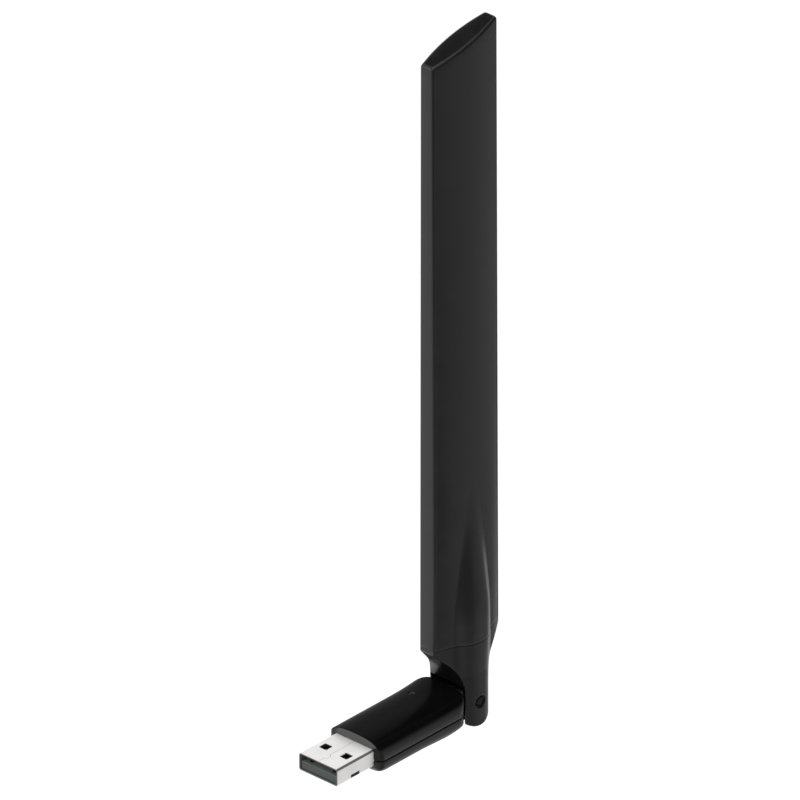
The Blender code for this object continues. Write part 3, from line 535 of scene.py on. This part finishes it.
def housingSkin(x, y, z):
    # superellipse section, domed above and squarer below, inside a plan outline with rounded corners;
    # the end edges are rounded only where the section faces up or down, and the sides stay full
    h = housing
    lift = nearHinge(y, h["humpLength"]) ** 2
    above = z > 0
    keel = h["drop"] + h["sag"] * nearHinge(y, h["sagLength"])
    keel = keel - roundOver(h["frontUndercut"], y) - roundOver(h["rearUndercut"], h["length"] - y)
    height = np.where(above, h["rise"] + h["hump"] * lift, keel)
    power = np.where(above, h["domePower"] + (h["rearPower"] - h["domePower"]) * lift, h["basePower"])
    a = np.abs(x) / h["halfWidth"] + 1e-6
    b = np.abs(z) / height + 1e-6
    both = a ** power + b ** power
    level = both ** (1 / power)
    rate = both ** (1 / power - 1)
    upright = rate * b ** (power - 1) / height
    slope = np.maximum(np.hypot(rate * a ** (power - 1) / h["halfWidth"], upright), 0.02)
    section = (level - 1) / slope
    flat = np.minimum(upright / slope, 1.0) ** 2
    front = barGap(x, y - h["planHalf"], h["halfWidth"], h["planHalf"], h["frontCorner"])
    rear = barGap(x, y - h["length"] + h["planHalf"], h["halfWidth"], h["planHalf"], h["rearCorner"])
    frontEase = np.where(above, h["frontEase"], h["baseEase"]) * flat + h["leastEase"]
    rearEase = np.where(above, h["rearEase"], h["baseEase"]) * flat + h["leastEase"]
    return softMax(softMax(section, front, frontEase), rear, rearEase)


def knuckleGap(x, y, z):
    # tongue with a round end about the hinge axis, its side edges eased
    h = housing
    back = np.hypot(np.maximum(y - hinge[1], 0), z) - h["knuckleRadius"]
    start = h["cavityEnd"] + h["knuckleStart"] - y
    side = np.maximum(np.maximum(np.abs(z) - h["knuckleRadius"], back), start)
    return softMax(np.abs(x) - h["knuckleHalf"], side, h["knuckleEase"])


def wholeHousing(x, y, z):
    # skin and knuckle, less the fork's sweep, the cavity, the plug's mouth, the cable's duct and the bore
    h = housing
    skin = housingSkin(x, y, z)
    reach = np.hypot(y - hinge[1], z)
    solid = softMax(skin, h["relief"] - reach, h["reliefEase"])
    solid = softMin(solid, knuckleGap(x, y, z), h["rootEase"])
    cavity = np.maximum(np.maximum(skin + h["wall"], y - h["cavityEnd"]), h["wall"] - y)
    solid = np.maximum(solid, -cavity)
    mouth = barGap(x, z, plugHigh[0] + h["mouthGap"], plugHigh[2] + h["mouthGap"], h["mouthCorner"])
    solid = softMax(solid, -np.maximum(mouth, y - h["mouthDepth"]), h["mouthEase"])
    duct = np.maximum(np.hypot(x, z) - h["ductRadius"], h["cavityEnd"] - h["wall"] - y)
    duct = np.maximum(duct, y - hinge[1])
    slot = np.maximum(np.abs(x) - h["ductRadius"], h["slotStart"] - y)
    solid = softMax(solid, -np.minimum(duct, slot), h["slotEase"])
    return softMax(solid, h["pinBore"] - reach, h["boreEase"])


ledLow, ledHigh = nodeBox("light_pipe")
ledSpot = (ledLow + ledHigh) / 2


def upperGap(x, y, z):
    # the housing above the parting line, less a round hole for the light pipe
    h = housing
    hole = np.maximum(np.hypot(x - ledSpot[0], y - ledSpot[1]) - h["ledHole"], -z)
    solid = softMax(wholeHousing(x, y, z), -hole, h["ledEase"])
    return softMax(solid, h["partingTop"] - z, h["partingEase"])


# board supports
posts = {"radius": 0.9, "x": 5.1, "front": 10.3, "back": 23.0, "top": -1.7, "foot": -3.5}


def lowerGap(x, y, z):
    # the housing below the parting line, with four round posts under the board
    h = housing
    solid = softMax(wholeHousing(x, y, z), z - h["partingBottom"], h["partingEase"])
    middle = (posts["front"] + posts["back"]) / 2
    off = np.hypot(np.abs(x) - posts["x"], np.abs(y - middle) - (posts["back"] - posts["front"]) / 2)
    post = np.maximum(off - posts["radius"], np.maximum(z - posts["top"], posts["foot"] - z))
    return np.minimum(solid, post)


upperShell = skinOf("upperShell", upperGap, upperLow, upperHigh, housing["step"])
belongs(upperShell, "adapter_body", "gloss_black", finishes["gloss_black"], "upper_shell")
lowerShell = skinOf("lowerShell", lowerGap, lowerLow, lowerHigh, housing["step"])
lowerFinish = satinAbs("satin ABS, lower shell", "#111112", "#151516", 0.3)
belongs(lowerShell, "adapter_body", "satin_black", lowerFinish, "lower_shell")


# plug: formed sheet with latch holes, side slots and a locked seam, round a nylon tongue

plug = {
    "sheet": 0.3, "corner": 0.6, "lipEase": 0.08,
    "latchX": 3.2, "latchHalf": 1.15, "latchCorner": 0.3, "latchBehindTip": 6.1,
    "slotHalf": 1.45, "slotHeight": 0.9, "slotCorner": 0.1, "seamFloor": 1.0,
    "seamHalf": 0.06, "seamJog": 0.7, "lockBehindTip": 3.0, "lockHalf": 0.55, "lockEnd": 1.1,
    "past": 1.0,   # how far a cutter runs past the sheet
}


def upright(name, outline, low, high):   # an outline of (x, y) drawn up from one height to another
    outline = np.asarray(outline, float)
    return ringStack(name, np.stack([np.insert(outline, 2, z, axis=1) for z in (low, high)]))


def cutAway(piece, cutters):
    # takes each cutter's volume out of the piece, then removes the cutters
    for cutter in cutters:
        change = piece.modifiers.new(cutter.name, "BOOLEAN")
        change.operation, change.solver, change.object = "DIFFERENCE", "EXACT", cutter
    whole = piece.data
    solved = piece.evaluated_get(bpy.context.evaluated_depsgraph_get())
    piece.data = bpy.data.meshes.new_from_object(solved)
    piece.modifiers.clear()
    for mesh in [whole] + [cutter.data for cutter in cutters]:
        bpy.data.meshes.remove(mesh)   # a mesh takes its object with it
    faceOutwards(piece, sharpAngle=30)


def makePlugShell():
    # rounded-rectangle rings that run along the inside to the mouth, round the rim and back along
    # the outside
    p = plug
    front, back = plugLow[1], plugHigh[1]
    halfW, halfH = plugHigh[0], plugHigh[2]
    turn = np.linspace(0, math.pi / 2, 4)
    e = p["lipEase"]
    inset = np.concatenate(([p["sheet"]], p["sheet"] - e * (1 - np.cos(turn)),
                            e * (1 - np.sin(turn)), [0.0]))
    along = np.concatenate(([back], front + e * (1 - np.sin(turn)),
                            front + e * (1 - np.cos(turn)), [back]))
    bars = [roundedBar(2 * (halfW - i), 2 * (halfH - i), p["corner"] - i, 8) for i in inset]
    rings = np.stack([np.insert(bar, 1, y, axis=1) for bar, y in zip(bars, along)])
    count, around = rings.shape[:2]
    j = np.arange(around)
    k, last = (j + 1) % around, (count - 1) * around
    faces = bandFaces(count, around) + np.column_stack((last + j, last + k, k, j)).tolist()
    shell = addMesh("plugShell", rings.reshape(-1, 3), faces)
    faceOutwards(shell, sharpAngle=30)

    middle = front + p["latchBehindTip"]
    hole = roundedBar(2 * p["latchHalf"], 2 * p["latchHalf"], p["latchCorner"])
    slot = roundedBar(2 * p["sheet"] + p["past"], 2 * p["slotHalf"], p["slotCorner"])
    slotX = halfW + p["past"] / 2 - p["sheet"]
    floor = p["sheet"] - halfH
    over = halfH + p["past"]
    cutters = []
    for side, word in ((-1, "Left"), (1, "Right")):
        cutters.append(upright("latchCut" + word, hole + (side * p["latchX"], middle), -over, over))
        sideSlot = slot + (side * slotX, middle)
        cutters.append(upright("slotCut" + word, sideSlot, floor, floor + p["slotHeight"]))
    lock = front + p["lockBehindTip"]
    line = np.array([(0, front - p["past"]), (0, lock - p["lockEnd"]),
                     (p["seamJog"], lock - p["lockHalf"]), (p["seamJog"], lock + p["lockHalf"]),
                     (0, lock + p["lockEnd"]), (0, back + p["past"])])
    halfSeam = np.array((p["seamHalf"], 0))
    seam = np.vstack((line + halfSeam, line[::-1] - halfSeam))
    cutters.append(upright("seamCut", seam, p["seamFloor"], over))
    cutAway(shell, cutters)
    return shell


plugShell = makePlugShell()
belongs(plugShell, "adapter_body", "nickel", finishes["nickel"], "plug_shell")

tongueLow, tongueHigh = nodeBox("plug_insulator")
tongue = {
    "top": tongueLow[2] + 1.9, "heel": plugLow[1] + 9.2, "corner": 0.3, "ease": 0.2, "swell": 0.09,
    "slotHalf": 0.65, "slotRise": 0.55, "slots": (1.0, 3.5), "slotAhead": 0.15, "slotEase": 0.08,
    "step": 0.15,
}


def tongueGap(x, y, z):
    # block filling the plug's back, cut away in front, with a channel for each contact
    t = tongue
    middle = (tongueLow + tongueHigh) / 2
    half = (tongueHigh - tongueLow) / 2
    swollen = half + t["swell"]
    block = barGap(x - middle[0], z - middle[2], swollen[0], swollen[2], t["corner"])
    block = softMax(block, np.abs(y - middle[1]) - half[1], t["ease"])
    block = softMax(block, np.minimum(z - t["top"], t["heel"] - y), t["ease"])
    a, b = t["slots"]
    column = np.abs(np.abs(np.abs(x) - (a + b) / 2) - (b - a) / 2) - t["slotHalf"]
    channel = np.maximum(column, np.maximum(t["top"] - z, z - t["top"] - t["slotRise"]))
    return softMax(block, -np.maximum(channel, t["heel"] - t["slotAhead"] - y), t["slotEase"])


plugTongue = skinOf("plugTongue", tongueGap, tongueLow, tongueHigh, tongue["step"])
belongs(plugTongue, "adapter_body", "dark_nylon", finishes["dark_nylon"], "plug_insulator")

contact = {
    "thickness": 0.25, "noseDrop": 0.34, "noseLength": 1.4, "edge": 0.06,
    "behindShell": 0.15, "stepLead": 0.2, "stepTail": 0.1,
}


def makeContact(node):
    # a flat bar carried back along the tongue, down a step and out over the board
    c = contact
    low, high = nodeBox(node)
    half = c["thickness"] / 2
    upper, lower = high[2] - half, low[2] + half
    middle = (low[0] + high[0]) / 2
    step = upper - lower
    back = plugHigh[1] + c["behindShell"]
    route = [(middle, low[1], upper - c["noseDrop"]), (middle, low[1] + c["noseLength"], upper),
             (middle, (low[1] + back) / 2, upper), (middle, back - c["stepLead"], upper),
             (middle, back + step + c["stepTail"], lower), (middle, high[1], lower)]
    bar = roundedBar(high[0] - low[0], c["thickness"], c["edge"])
    piece = sweep(node.replace("contact_", "contact-"), smoothRoute(route, 8), bar)
    belongs(piece, "adapter_body", "gold", finishes["gold"], node)


for node in ("contact_power", "contact_data_minus", "contact_data_plus", "contact_ground"):
    makeContact(node)
print("plug made")


# light pipe: a smoked rod with a slightly domed top, a little proud of its CAD node
pipe = {"radius": 0.7, "dome": 0.12, "foot": 0.1, "proud": 0.1}
base, top = ledLow[2], ledHigh[2] + pipe["proud"]
domeTurn = np.linspace(0, math.pi / 2, 7)[:-1]
pipeProfile = [(base, pipe["radius"] - pipe["foot"]), (base + pipe["foot"], pipe["radius"])]
pipeProfile += [(top - pipe["dome"] + pipe["dome"] * math.sin(t), pipe["radius"] * math.cos(t))
                for t in domeTurn]
lightPipe = turned("lightPipe", pipeProfile, 2, (ledSpot[0], ledSpot[1], 0))
belongs(lightPipe, "adapter_body", "smoked_acrylic", finishes["smoked_acrylic"], "light_pipe")


# antenna: sleeve, fork and pins, worked out about the hinge

sleeveLow, sleeveHigh = nodeBox("antenna_sleeve")
blade = {
    "half": sleeveHigh[1] - hinge[1], "foot": sleeveLow[2], "length": 172.88,
    "slant": math.tan(math.radians(13.0)),
    "edgeFoot": 2.15, "edgeTip": 1.85, "middleFoot": 5.0, "middleTip": 3.25, "corner": 0.7,
    "coneFoot": 7.1, "coneStart": 8.0, "coneHeight": 34.0, "coneEase": 0.3,
    "crease": 0.7, "leastFold": 0.6, "tipEase": 0.9, "footEase": 0.03, "wall": 1.3, "tipWall": 2.5,
}


def bladeHalf(foot, tip, z):   # half thickness, changing evenly from foot to tip
    return foot + (tip - foot) * (z - blade["foot"]) / (blade["length"] - blade["foot"])


def coneRadius(z):
    # the round neck carried on up the blade, straight at first and then a cone into its faces
    b = blade
    end = bladeHalf(b["middleFoot"], b["middleTip"], b["foot"] + b["coneHeight"])
    share = (z - b["foot"] - b["coneStart"]) / (b["coneHeight"] - b["coneStart"])
    cone = b["coneFoot"] + (end - b["coneFoot"]) * share
    return np.maximum(softMin(b["coneFoot"] + 0 * z, cone, b["coneEase"]), 0)


def sleeveRings(z, inset, slant, withCone, faceSteps=26, neckSteps=40, cornerSteps=6):
    # section at each height: parabola faces, flat edges with round corners, and the cone where it
    # is prouder
    z, inset, slant = (np.asarray(v, float)[:, None] for v in (z, inset, slant))
    half = blade["half"]
    edge = bladeHalf(blade["edgeFoot"], blade["edgeTip"], z)
    middle = bladeHalf(blade["middleFoot"], blade["middleTip"], z)
    fall = (middle - edge) / half ** 2
    radius = coneRadius(z) if withCone else 0 * z
    slope = 1 - 2 * middle * fall
    proud = np.maximum(radius ** 2 - middle ** 2, 0)
    root = np.sqrt(slope ** 2 + 4 * fall ** 2 * proud)
    fold = np.sqrt(np.maximum((root - slope) / (2 * fall ** 2), 0))
    fold = np.maximum(fold, blade["leastFold"])
    limit = half - inset - blade["corner"]
    outward = np.linspace(0, 1, faceSteps)[None]
    side = limit + (fold - limit) * outward
    across = fold * np.linspace(-1, 1, neckSteps)[None, 1:-1]
    y = np.concatenate([-side, across, side[:, ::-1]], axis=1)
    face = middle - fall * y ** 2
    neck = np.sqrt(np.maximum(radius ** 2 - y ** 2, 0))
    x = softMax(face, neck, blade["crease"]) - inset if withCone else face - inset
    turn = np.linspace(0, math.pi / 2, cornerSteps + 1)[None, :-1]
    cornerY = limit + blade["corner"] * np.cos(turn)
    cornerX = x[:, -1:] - blade["corner"] + blade["corner"] * np.sin(turn)
    rightY = np.concatenate([-cornerY, y, cornerY[:, ::-1]], axis=1)
    rightX = np.concatenate([cornerX, x, cornerX[:, ::-1]], axis=1)
    ringX = np.concatenate([rightX, -rightX[:, ::-1]], axis=1)
    ringY = np.concatenate([rightY, rightY[:, ::-1]], axis=1)
    ringZ = z + slant * ringY
    return np.stack([ringX, ringY + hinge[1], ringZ + hinge[2]], axis=-1)


def makeSleeve():
    # inner wall from its roof down to the foot, round the rim, then the outer skin up to the
    # slanted tip
    b = blade
    roof = b["length"] - b["tipWall"] - b["slant"] * b["half"]
    innerZ = np.linspace(roof, b["foot"], 6)
    inner = sleeveRings(innerZ, np.full(6, b["wall"]), np.zeros(6), False)
    turn = np.linspace(0, math.pi / 2, 5)
    rimZ = b["foot"] + b["footEase"] * (1 - np.cos(turn[:-1]))
    rimInset = b["footEase"] * (1 - np.sin(turn[:-1]))
    rim = sleeveRings(rimZ, rimInset, 0 * rimZ, True)
    start = b["foot"] + b["footEase"]
    coneTop = b["foot"] + b["coneHeight"]
    end = b["length"] - b["tipEase"]
    skinZ = np.concatenate([np.linspace(start, coneTop, 60), np.linspace(coneTop, end, 60)[1:]])
    lean = b["slant"] * (skinZ - start) / (end - start)
    skin = sleeveRings(skinZ, 0 * skinZ, lean, True)
    tipZ = b["length"] - b["tipEase"] * (1 - np.sin(turn[1:]))
    tipInset = b["tipEase"] * (1 - np.cos(turn[1:]))
    tip = sleeveRings(tipZ, tipInset, np.full(4, b["slant"]), True)
    return ringStack("antennaSleeve", np.concatenate([inner, rim, skin, tip]), sharpAngle=30)


antennaSleeve = makeSleeve()
belongs(antennaSleeve, "antenna", "satin_black", finishes["satin_black"], "antenna_sleeve")

forkLow, forkHigh = nodeBox("antenna_fork")
fork = {
    "neck": 6.8, "top": blade["foot"], "partingGap": 0.07, "partingEnds": (-9.6, 6.8),
    "topEase": 0.1, "leastEase": 0.01, "edgeEase": 0.2,
    "slotHalf": 5.2, "slotEase": 0.25, "crotch": 4.9,
    "cheekHalf": 4.0, "cheekRadius": 6.3, "cheekRound": 0.3, "cheekEase": 0.25,
    "shoulderLow": 7.8, "shoulderHigh": 15.0, "frontWaist": 3.6, "rearWaist": 3.0,
    "pinBore": 1.28, "boreEase": 0.15, "pocketRadius": 1.65, "pocketFloor": 6.2,
    "spigotHalf": (2.4, 7.0), "spigotCorner": 1.2, "spigotTop": blade["foot"] + 10.0, "spigotRoot": 13.3,
    "boardSlot": (0.55, 4.65), "boardFloor": blade["foot"] + 3.85,
    "ductLow": -1.1, "ductHigh": 1.85, "ductEase": 0.15, "step": 0.2,
}


def forkGap(x, y, z):
    # blade section joined to the round neck, trimmed by the shoulders and cheeks seen from the side,
    # less the slot for the knuckle, the pin holes and the cable's duct, plus the spigot inside
    # the sleeve
    f = fork
    y, z = y - hinge[1], z - hinge[2]
    edge = bladeHalf(blade["edgeFoot"], blade["edgeTip"], z)
    middle = bladeHalf(blade["middleFoot"], blade["middleTip"], z)
    fall = (middle - edge) / blade["half"] ** 2
    face = (np.abs(x) - middle + fall * y ** 2) / np.sqrt(1 + (2 * fall * y) ** 2)
    lens = softMax(face, np.abs(y) - blade["half"], f["edgeEase"])
    rise = np.clip((z - f["shoulderLow"]) / (blade["foot"] - f["shoulderLow"]), 0, 1)
    neck = np.hypot(x, y) - f["neck"] - (blade["coneFoot"] - f["neck"]) * rise
    body = softMin(lens, neck, blade["crease"])
    lean = (blade["half"] - f["cheekHalf"]) / (f["shoulderHigh"] - f["shoulderLow"])
    shoulder = (np.abs(y) - f["cheekHalf"] - (z - f["shoulderLow"]) * lean) / math.hypot(1, lean)
    cheekEnd = np.hypot(y, np.minimum(z, 0)) - f["cheekRadius"]
    cheek = softMax(np.abs(y) - f["cheekHalf"], cheekEnd, f["cheekRound"])
    profile = softMin(shoulder, cheek, np.where(y < 0, f["frontWaist"], f["rearWaist"]))
    solid = softMax(body, profile, f["cheekEase"])
    # the parting line opens only across the neck and closes to nothing towards the blade's edges
    ends = f["partingEnds"]
    line = np.clip(np.minimum(y - ends[0], ends[1] - y), 0.0, 1.0)
    solid = softMax(solid, z - f["top"] + f["partingGap"] * line, f["topEase"] * line + f["leastEase"])
    slot = np.maximum(np.abs(x) - f["slotHalf"], z - f["crotch"])
    solid = softMax(solid, -slot, f["slotEase"])
    spigotEnds = np.maximum(f["spigotRoot"] - z, z - f["spigotTop"])
    spigot = np.maximum(barGap(x, y, *f["spigotHalf"], f["spigotCorner"]), spigotEnds)
    solid = np.minimum(solid, spigot)
    boardSlot = np.maximum(np.abs(x) - f["boardSlot"][0], np.abs(y) - f["boardSlot"][1])
    solid = np.maximum(solid, -np.maximum(boardSlot, f["boardFloor"] - z))
    duct = np.maximum(np.maximum(f["ductLow"] - x, x - f["ductHigh"]), np.abs(y) + f["ductLow"])
    solid = softMax(solid, -np.maximum(duct, -z), f["ductEase"])
    fromAxis = np.hypot(y, z)
    pocket = np.maximum(fromAxis - f["pocketRadius"], f["pocketFloor"] - np.abs(x))
    return softMax(solid, -np.minimum(pocket, fromAxis - f["pinBore"]), f["boreEase"])


antennaFork = skinOf("antennaFork", forkGap, forkLow, forkHigh, fork["step"])
forkFinish = satinAbs("satin ABS, fork", middleSheen=0.31)
belongs(antennaFork, "antenna", "satin_black", forkFinish, "antenna_fork")

pin = {"radius": 1.2, "chamfer": 0.18, "dome": 0.1}


def makePin(node):
    # stub with a chamfer at its inner end and a low dome at its outer end
    low, high = nodeBox(node)
    inner, outer = (low[0], high[0]) if high[0] > 0 else (high[0], low[0])
    way = math.copysign(1.0, outer - inner)
    r, c = pin["radius"], pin["chamfer"]
    shoulder = outer - way * (pin["dome"] + c)
    profile = [(inner, r - c), (inner + way * c, r), (shoulder, r), (shoulder + way * c, r - c)]
    profile += [(shoulder + way * (c + pin["dome"] * math.sin(t)), (r - c) * math.cos(t))
                for t in domeTurn[1:]]
    piece = turned(node.replace("_pin_", "Pin-"), profile, 0, (0, hinge[1], hinge[2]))
    belongs(piece, "antenna", "black_steel", finishes["black_steel"], node)


makePin("hinge_pin_left")
makePin("hinge_pin_right")
print("antenna made")


# coaxial cable: a run in the housing, a bend through the knuckle and a run up the antenna
coax = {
    "radius": 0.6, "bend": 2.3, "gap": 0.3, "clear": 0.1,
    "startX": 1.5, "overBoard": 0.8, "pastBoard": 0.4, "feed": 88.0,
}
boardTop = nodeBox("main_board")[1]
boardZ = boardTop[2] + coax["clear"] + coax["radius"]
bodyRoute = [(coax["startX"], boardTop[1] - coax["overBoard"], boardZ),
             (coax["startX"], boardTop[1] + coax["pastBoard"], boardZ),
             (0, housing["cavityEnd"], 0), (0, hinge[1] - coax["bend"] - coax["gap"], 0)]
bodyCable = sweep("coaxBodyRun", smoothRoute(bodyRoute), roundOutline(coax["radius"]))
belongs(bodyCable, "adapter_body", "cable_jacket", finishes["cable_jacket"], "coax_body_run")

quarter = np.linspace(-math.pi / 2, 0, 25)
bendPath = np.column_stack((0 * quarter, hinge[1] - coax["bend"] + coax["bend"] * np.cos(quarter),
                            hinge[2] + coax["bend"] + coax["bend"] * np.sin(quarter)))
bendCable = sweep("coaxHingeBend", bendPath, roundOutline(coax["radius"]))
bendCable.data.materials.append(finishes["cable_jacket"])
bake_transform(bendCable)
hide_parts("coax_hinge_bend")

aerialLow, aerialHigh = nodeBox("antenna_board")
besideBoard = aerialHigh[0] + coax["clear"] + coax["radius"]
aerialRoute = [(0, hinge[1], hinge[2] + coax["bend"] + coax["gap"]),
               (0, hinge[1], fork["crotch"] + 2 * coax["bend"]),
               (besideBoard, hinge[1], aerialLow[2] - coax["bend"]),
               (besideBoard, hinge[1], fork["spigotTop"]), (besideBoard, hinge[1], coax["feed"])]
aerialCable = sweep("coaxAntennaRun", smoothRoute(aerialRoute), roundOutline(coax["radius"]))
belongs(aerialCable, "antenna", "cable_jacket", finishes["cable_jacket"], "coax_antenna_run")
print("cable made")


# board, chips and dipole keep their CAD shapes and take their finishes by slot
slotOf = {row["node"]: row["material_slot"] for row in record["subparts"]}
for node, obj in frame["nodes"].items():
    obj.data.materials.clear()
    obj.data.materials.append(finishes[slotOf[node]])
print("CAD nodes finished:", len(frame["nodes"]))


# studio: pale floor well below, white surroundings, soft lamps and a camera at the photo's angle

studio = {
    "floorZ": -0.2, "floorSize": 12.0, "floorGlow": 0.42, "worldLevel": 0.7, "aimHeight": 0.06,
    "azimuth": 42.5, "elevation": 29.8, "lens": 1600.0, "frameWidth": 0.18515,
    "aside": -0.0136, "upward": 0.06752, "roll": -0.11, "clipEnd": 100.0,
}
cards = {   # a corner, the two edges from it in metres, and how light the card is
    "right": ((0.30, -0.70, -0.20), (0.0, 0.80, 0.0), (0.0, 0.0, 0.60), 0.26),
    "diagonalNear": ((0.30, 0.10, -0.20), (-0.15, 0.1625, 0.0), (0.0, 0.0, 0.09), 0.64),
    "diagonalFar": ((0.15, 0.2625, -0.20), (-0.09, 0.0975, 0.0), (0.0, 0.0, 0.09), 0.22),
    "diagonalHigh": ((0.30, 0.10, -0.11), (-0.24, 0.26, 0.0), (0.0, 0.0, 0.31), 0.47),
    "diagonalTop": ((0.30, 0.10, 0.20), (-0.24, 0.26, 0.0), (0.0, 0.0, 0.40), 0.08),
    "behindRight": ((0.06, 0.36, -0.20), (-0.08, 0.0, 0.0), (0.0, 0.0, 0.33), 0.20),
    "behindLeft": ((-0.02, 0.36, -0.17), (-0.68, 0.0, 0.0), (0.0, 0.0, 0.30), 0.85),
    "underShoulder": ((-0.24, 0.07, -0.19), (0.17, 0.0, 0.0), (0.0, 0.16, 0.0), 0.05),
    "underPatch": ((-0.26, -0.13, -0.195), (0.19, 0.0, 0.0), (0.0, 0.18, 0.0), 1.9),
    "overTip": ((-0.156, 0.062, 0.243), (0.062, 0.102, 0.0), (0.0745, -0.0454, 0.0823), 0.04),
}
lamps = {   # place, size in metres and power in watts
    "key": ((-0.75, -1.15, 0.75), 0.9, 3.5),
    "top": ((0.2, -0.2, 1.6), 1.1, 3.4),
}


def seenByEye(tree):
    # one for camera, glossy and transmission rays, none for the light that falls on things
    path = addNode(tree, "ShaderNodeLightPath").outputs
    some = reckon(tree, "MAXIMUM", path["Is Camera Ray"], path["Is Glossy Ray"])
    return reckon(tree, "MAXIMUM", some, path["Is Transmission Ray"])


def bareFinish(name):   # a material with no shader yet, its tree and the socket that its surface goes to
    finish = bpy.data.materials.new(name)
    finish.use_nodes = True
    tree = finish.node_tree
    tree.nodes.remove(tree.nodes["Principled BSDF"])
    return finish, tree, tree.nodes["Material Output"].inputs["Surface"]


def glowOf(tree, strength):   # white light of its own
    glow = addNode(tree, "ShaderNodeEmission", {"Color": (1, 1, 1, 1), "Strength": strength})
    return glow.outputs[0]


def makeWorld():
    world = bpy.data.worlds.new("white studio")
    bpy.context.scene.world = world
    world.use_nodes = True
    tree = world.node_tree
    background = tree.nodes["Background"]
    background.inputs["Color"].default_value = (1, 1, 1, 1)
    level = studio["worldLevel"]
    strength = reckon(tree, "MULTIPLY_ADD", seenByEye(tree), 1 - level, level)
    tree.links.new(strength, background.inputs["Strength"])


def makeFloor():
    half = studio["floorSize"] / 2 / mm
    z = studio["floorZ"] / mm
    corners = [(-half, -half, z), (half, -half, z), (half, half, z), (-half, half, z)]
    floor = addMesh("floor", corners, [(0, 1, 2, 3)])
    finish, tree, surface = bareFinish("pale paper")
    paper = addNode(tree, "ShaderNodeBsdfDiffuse", {"Color": linearColour("#e6e6e6")})
    glow = glowOf(tree, reckon(tree, "MULTIPLY", seenByEye(tree), studio["floorGlow"]))
    both = addNode(tree, "ShaderNodeAddShader", {0: paper.outputs[0], 1: glow})
    tree.links.new(both.outputs[0], surface)
    floor.data.materials.append(finish)


def makeCards():
    # cards to the right, behind, above and below, which show only as reflections
    for name, (corner, across, up, level) in cards.items():
        corner, across, up = (np.array(v) / mm for v in (corner, across, up))
        outline = [corner, corner + across, corner + across + up, corner + up]
        card = addMesh(name + "Card", outline, [(0, 1, 2, 3)])
        finish, tree, surface = bareFinish(name + " card")
        tree.links.new(glowOf(tree, level), surface)
        card.data.materials.append(finish)
        card.visible_camera = card.visible_diffuse = False
        card.visible_shadow = card.visible_transmission = False


def makeLamps():
    aim = Vector((0, hinge[1] * mm, studio["aimHeight"]))
    for name, (place, size, power) in lamps.items():
        data = bpy.data.lights.new(name, "AREA")
        data.shape = "DISK"
        data.size = size
        data.energy = power
        lamp = bpy.data.objects.new(name, data)
        lamp.location = place
        lamp.rotation_euler = (aim - Vector(place)).to_track_quat("-Z", "Y").to_euler()
        bpy.context.scene.collection.objects.link(lamp)


def makeCamera():
    az, el = math.radians(studio["azimuth"]), math.radians(studio["elevation"])
    back = Vector((math.sin(az) * math.cos(el), -math.cos(az) * math.cos(el), math.sin(el)))
    right = Vector((math.cos(az), math.sin(az), 0))
    up = back.cross(right)
    target = Vector(hinge * mm) + right * studio["aside"] + up * studio["upward"]
    data = bpy.data.cameras.new("camera")
    data.lens = studio["lens"]
    data.clip_end = studio["clipEnd"]
    distance = data.lens / data.sensor_width * studio["frameWidth"]
    camera = bpy.data.objects.new("camera", data)
    camera.location = target + back * distance
    roll = Quaternion((0, 0, 1), math.radians(studio["roll"]))
    camera.rotation_euler = (back.to_track_quat("Z", "Y") @ roll).to_euler()
    bpy.context.scene.collection.objects.link(camera)
    bpy.context.scene.camera = camera


bpy.context.scene.view_settings.view_transform = "Standard"
makeWorld()
makeFloor()
makeCards()
makeLamps()
makeCamera()
print("studio ready")
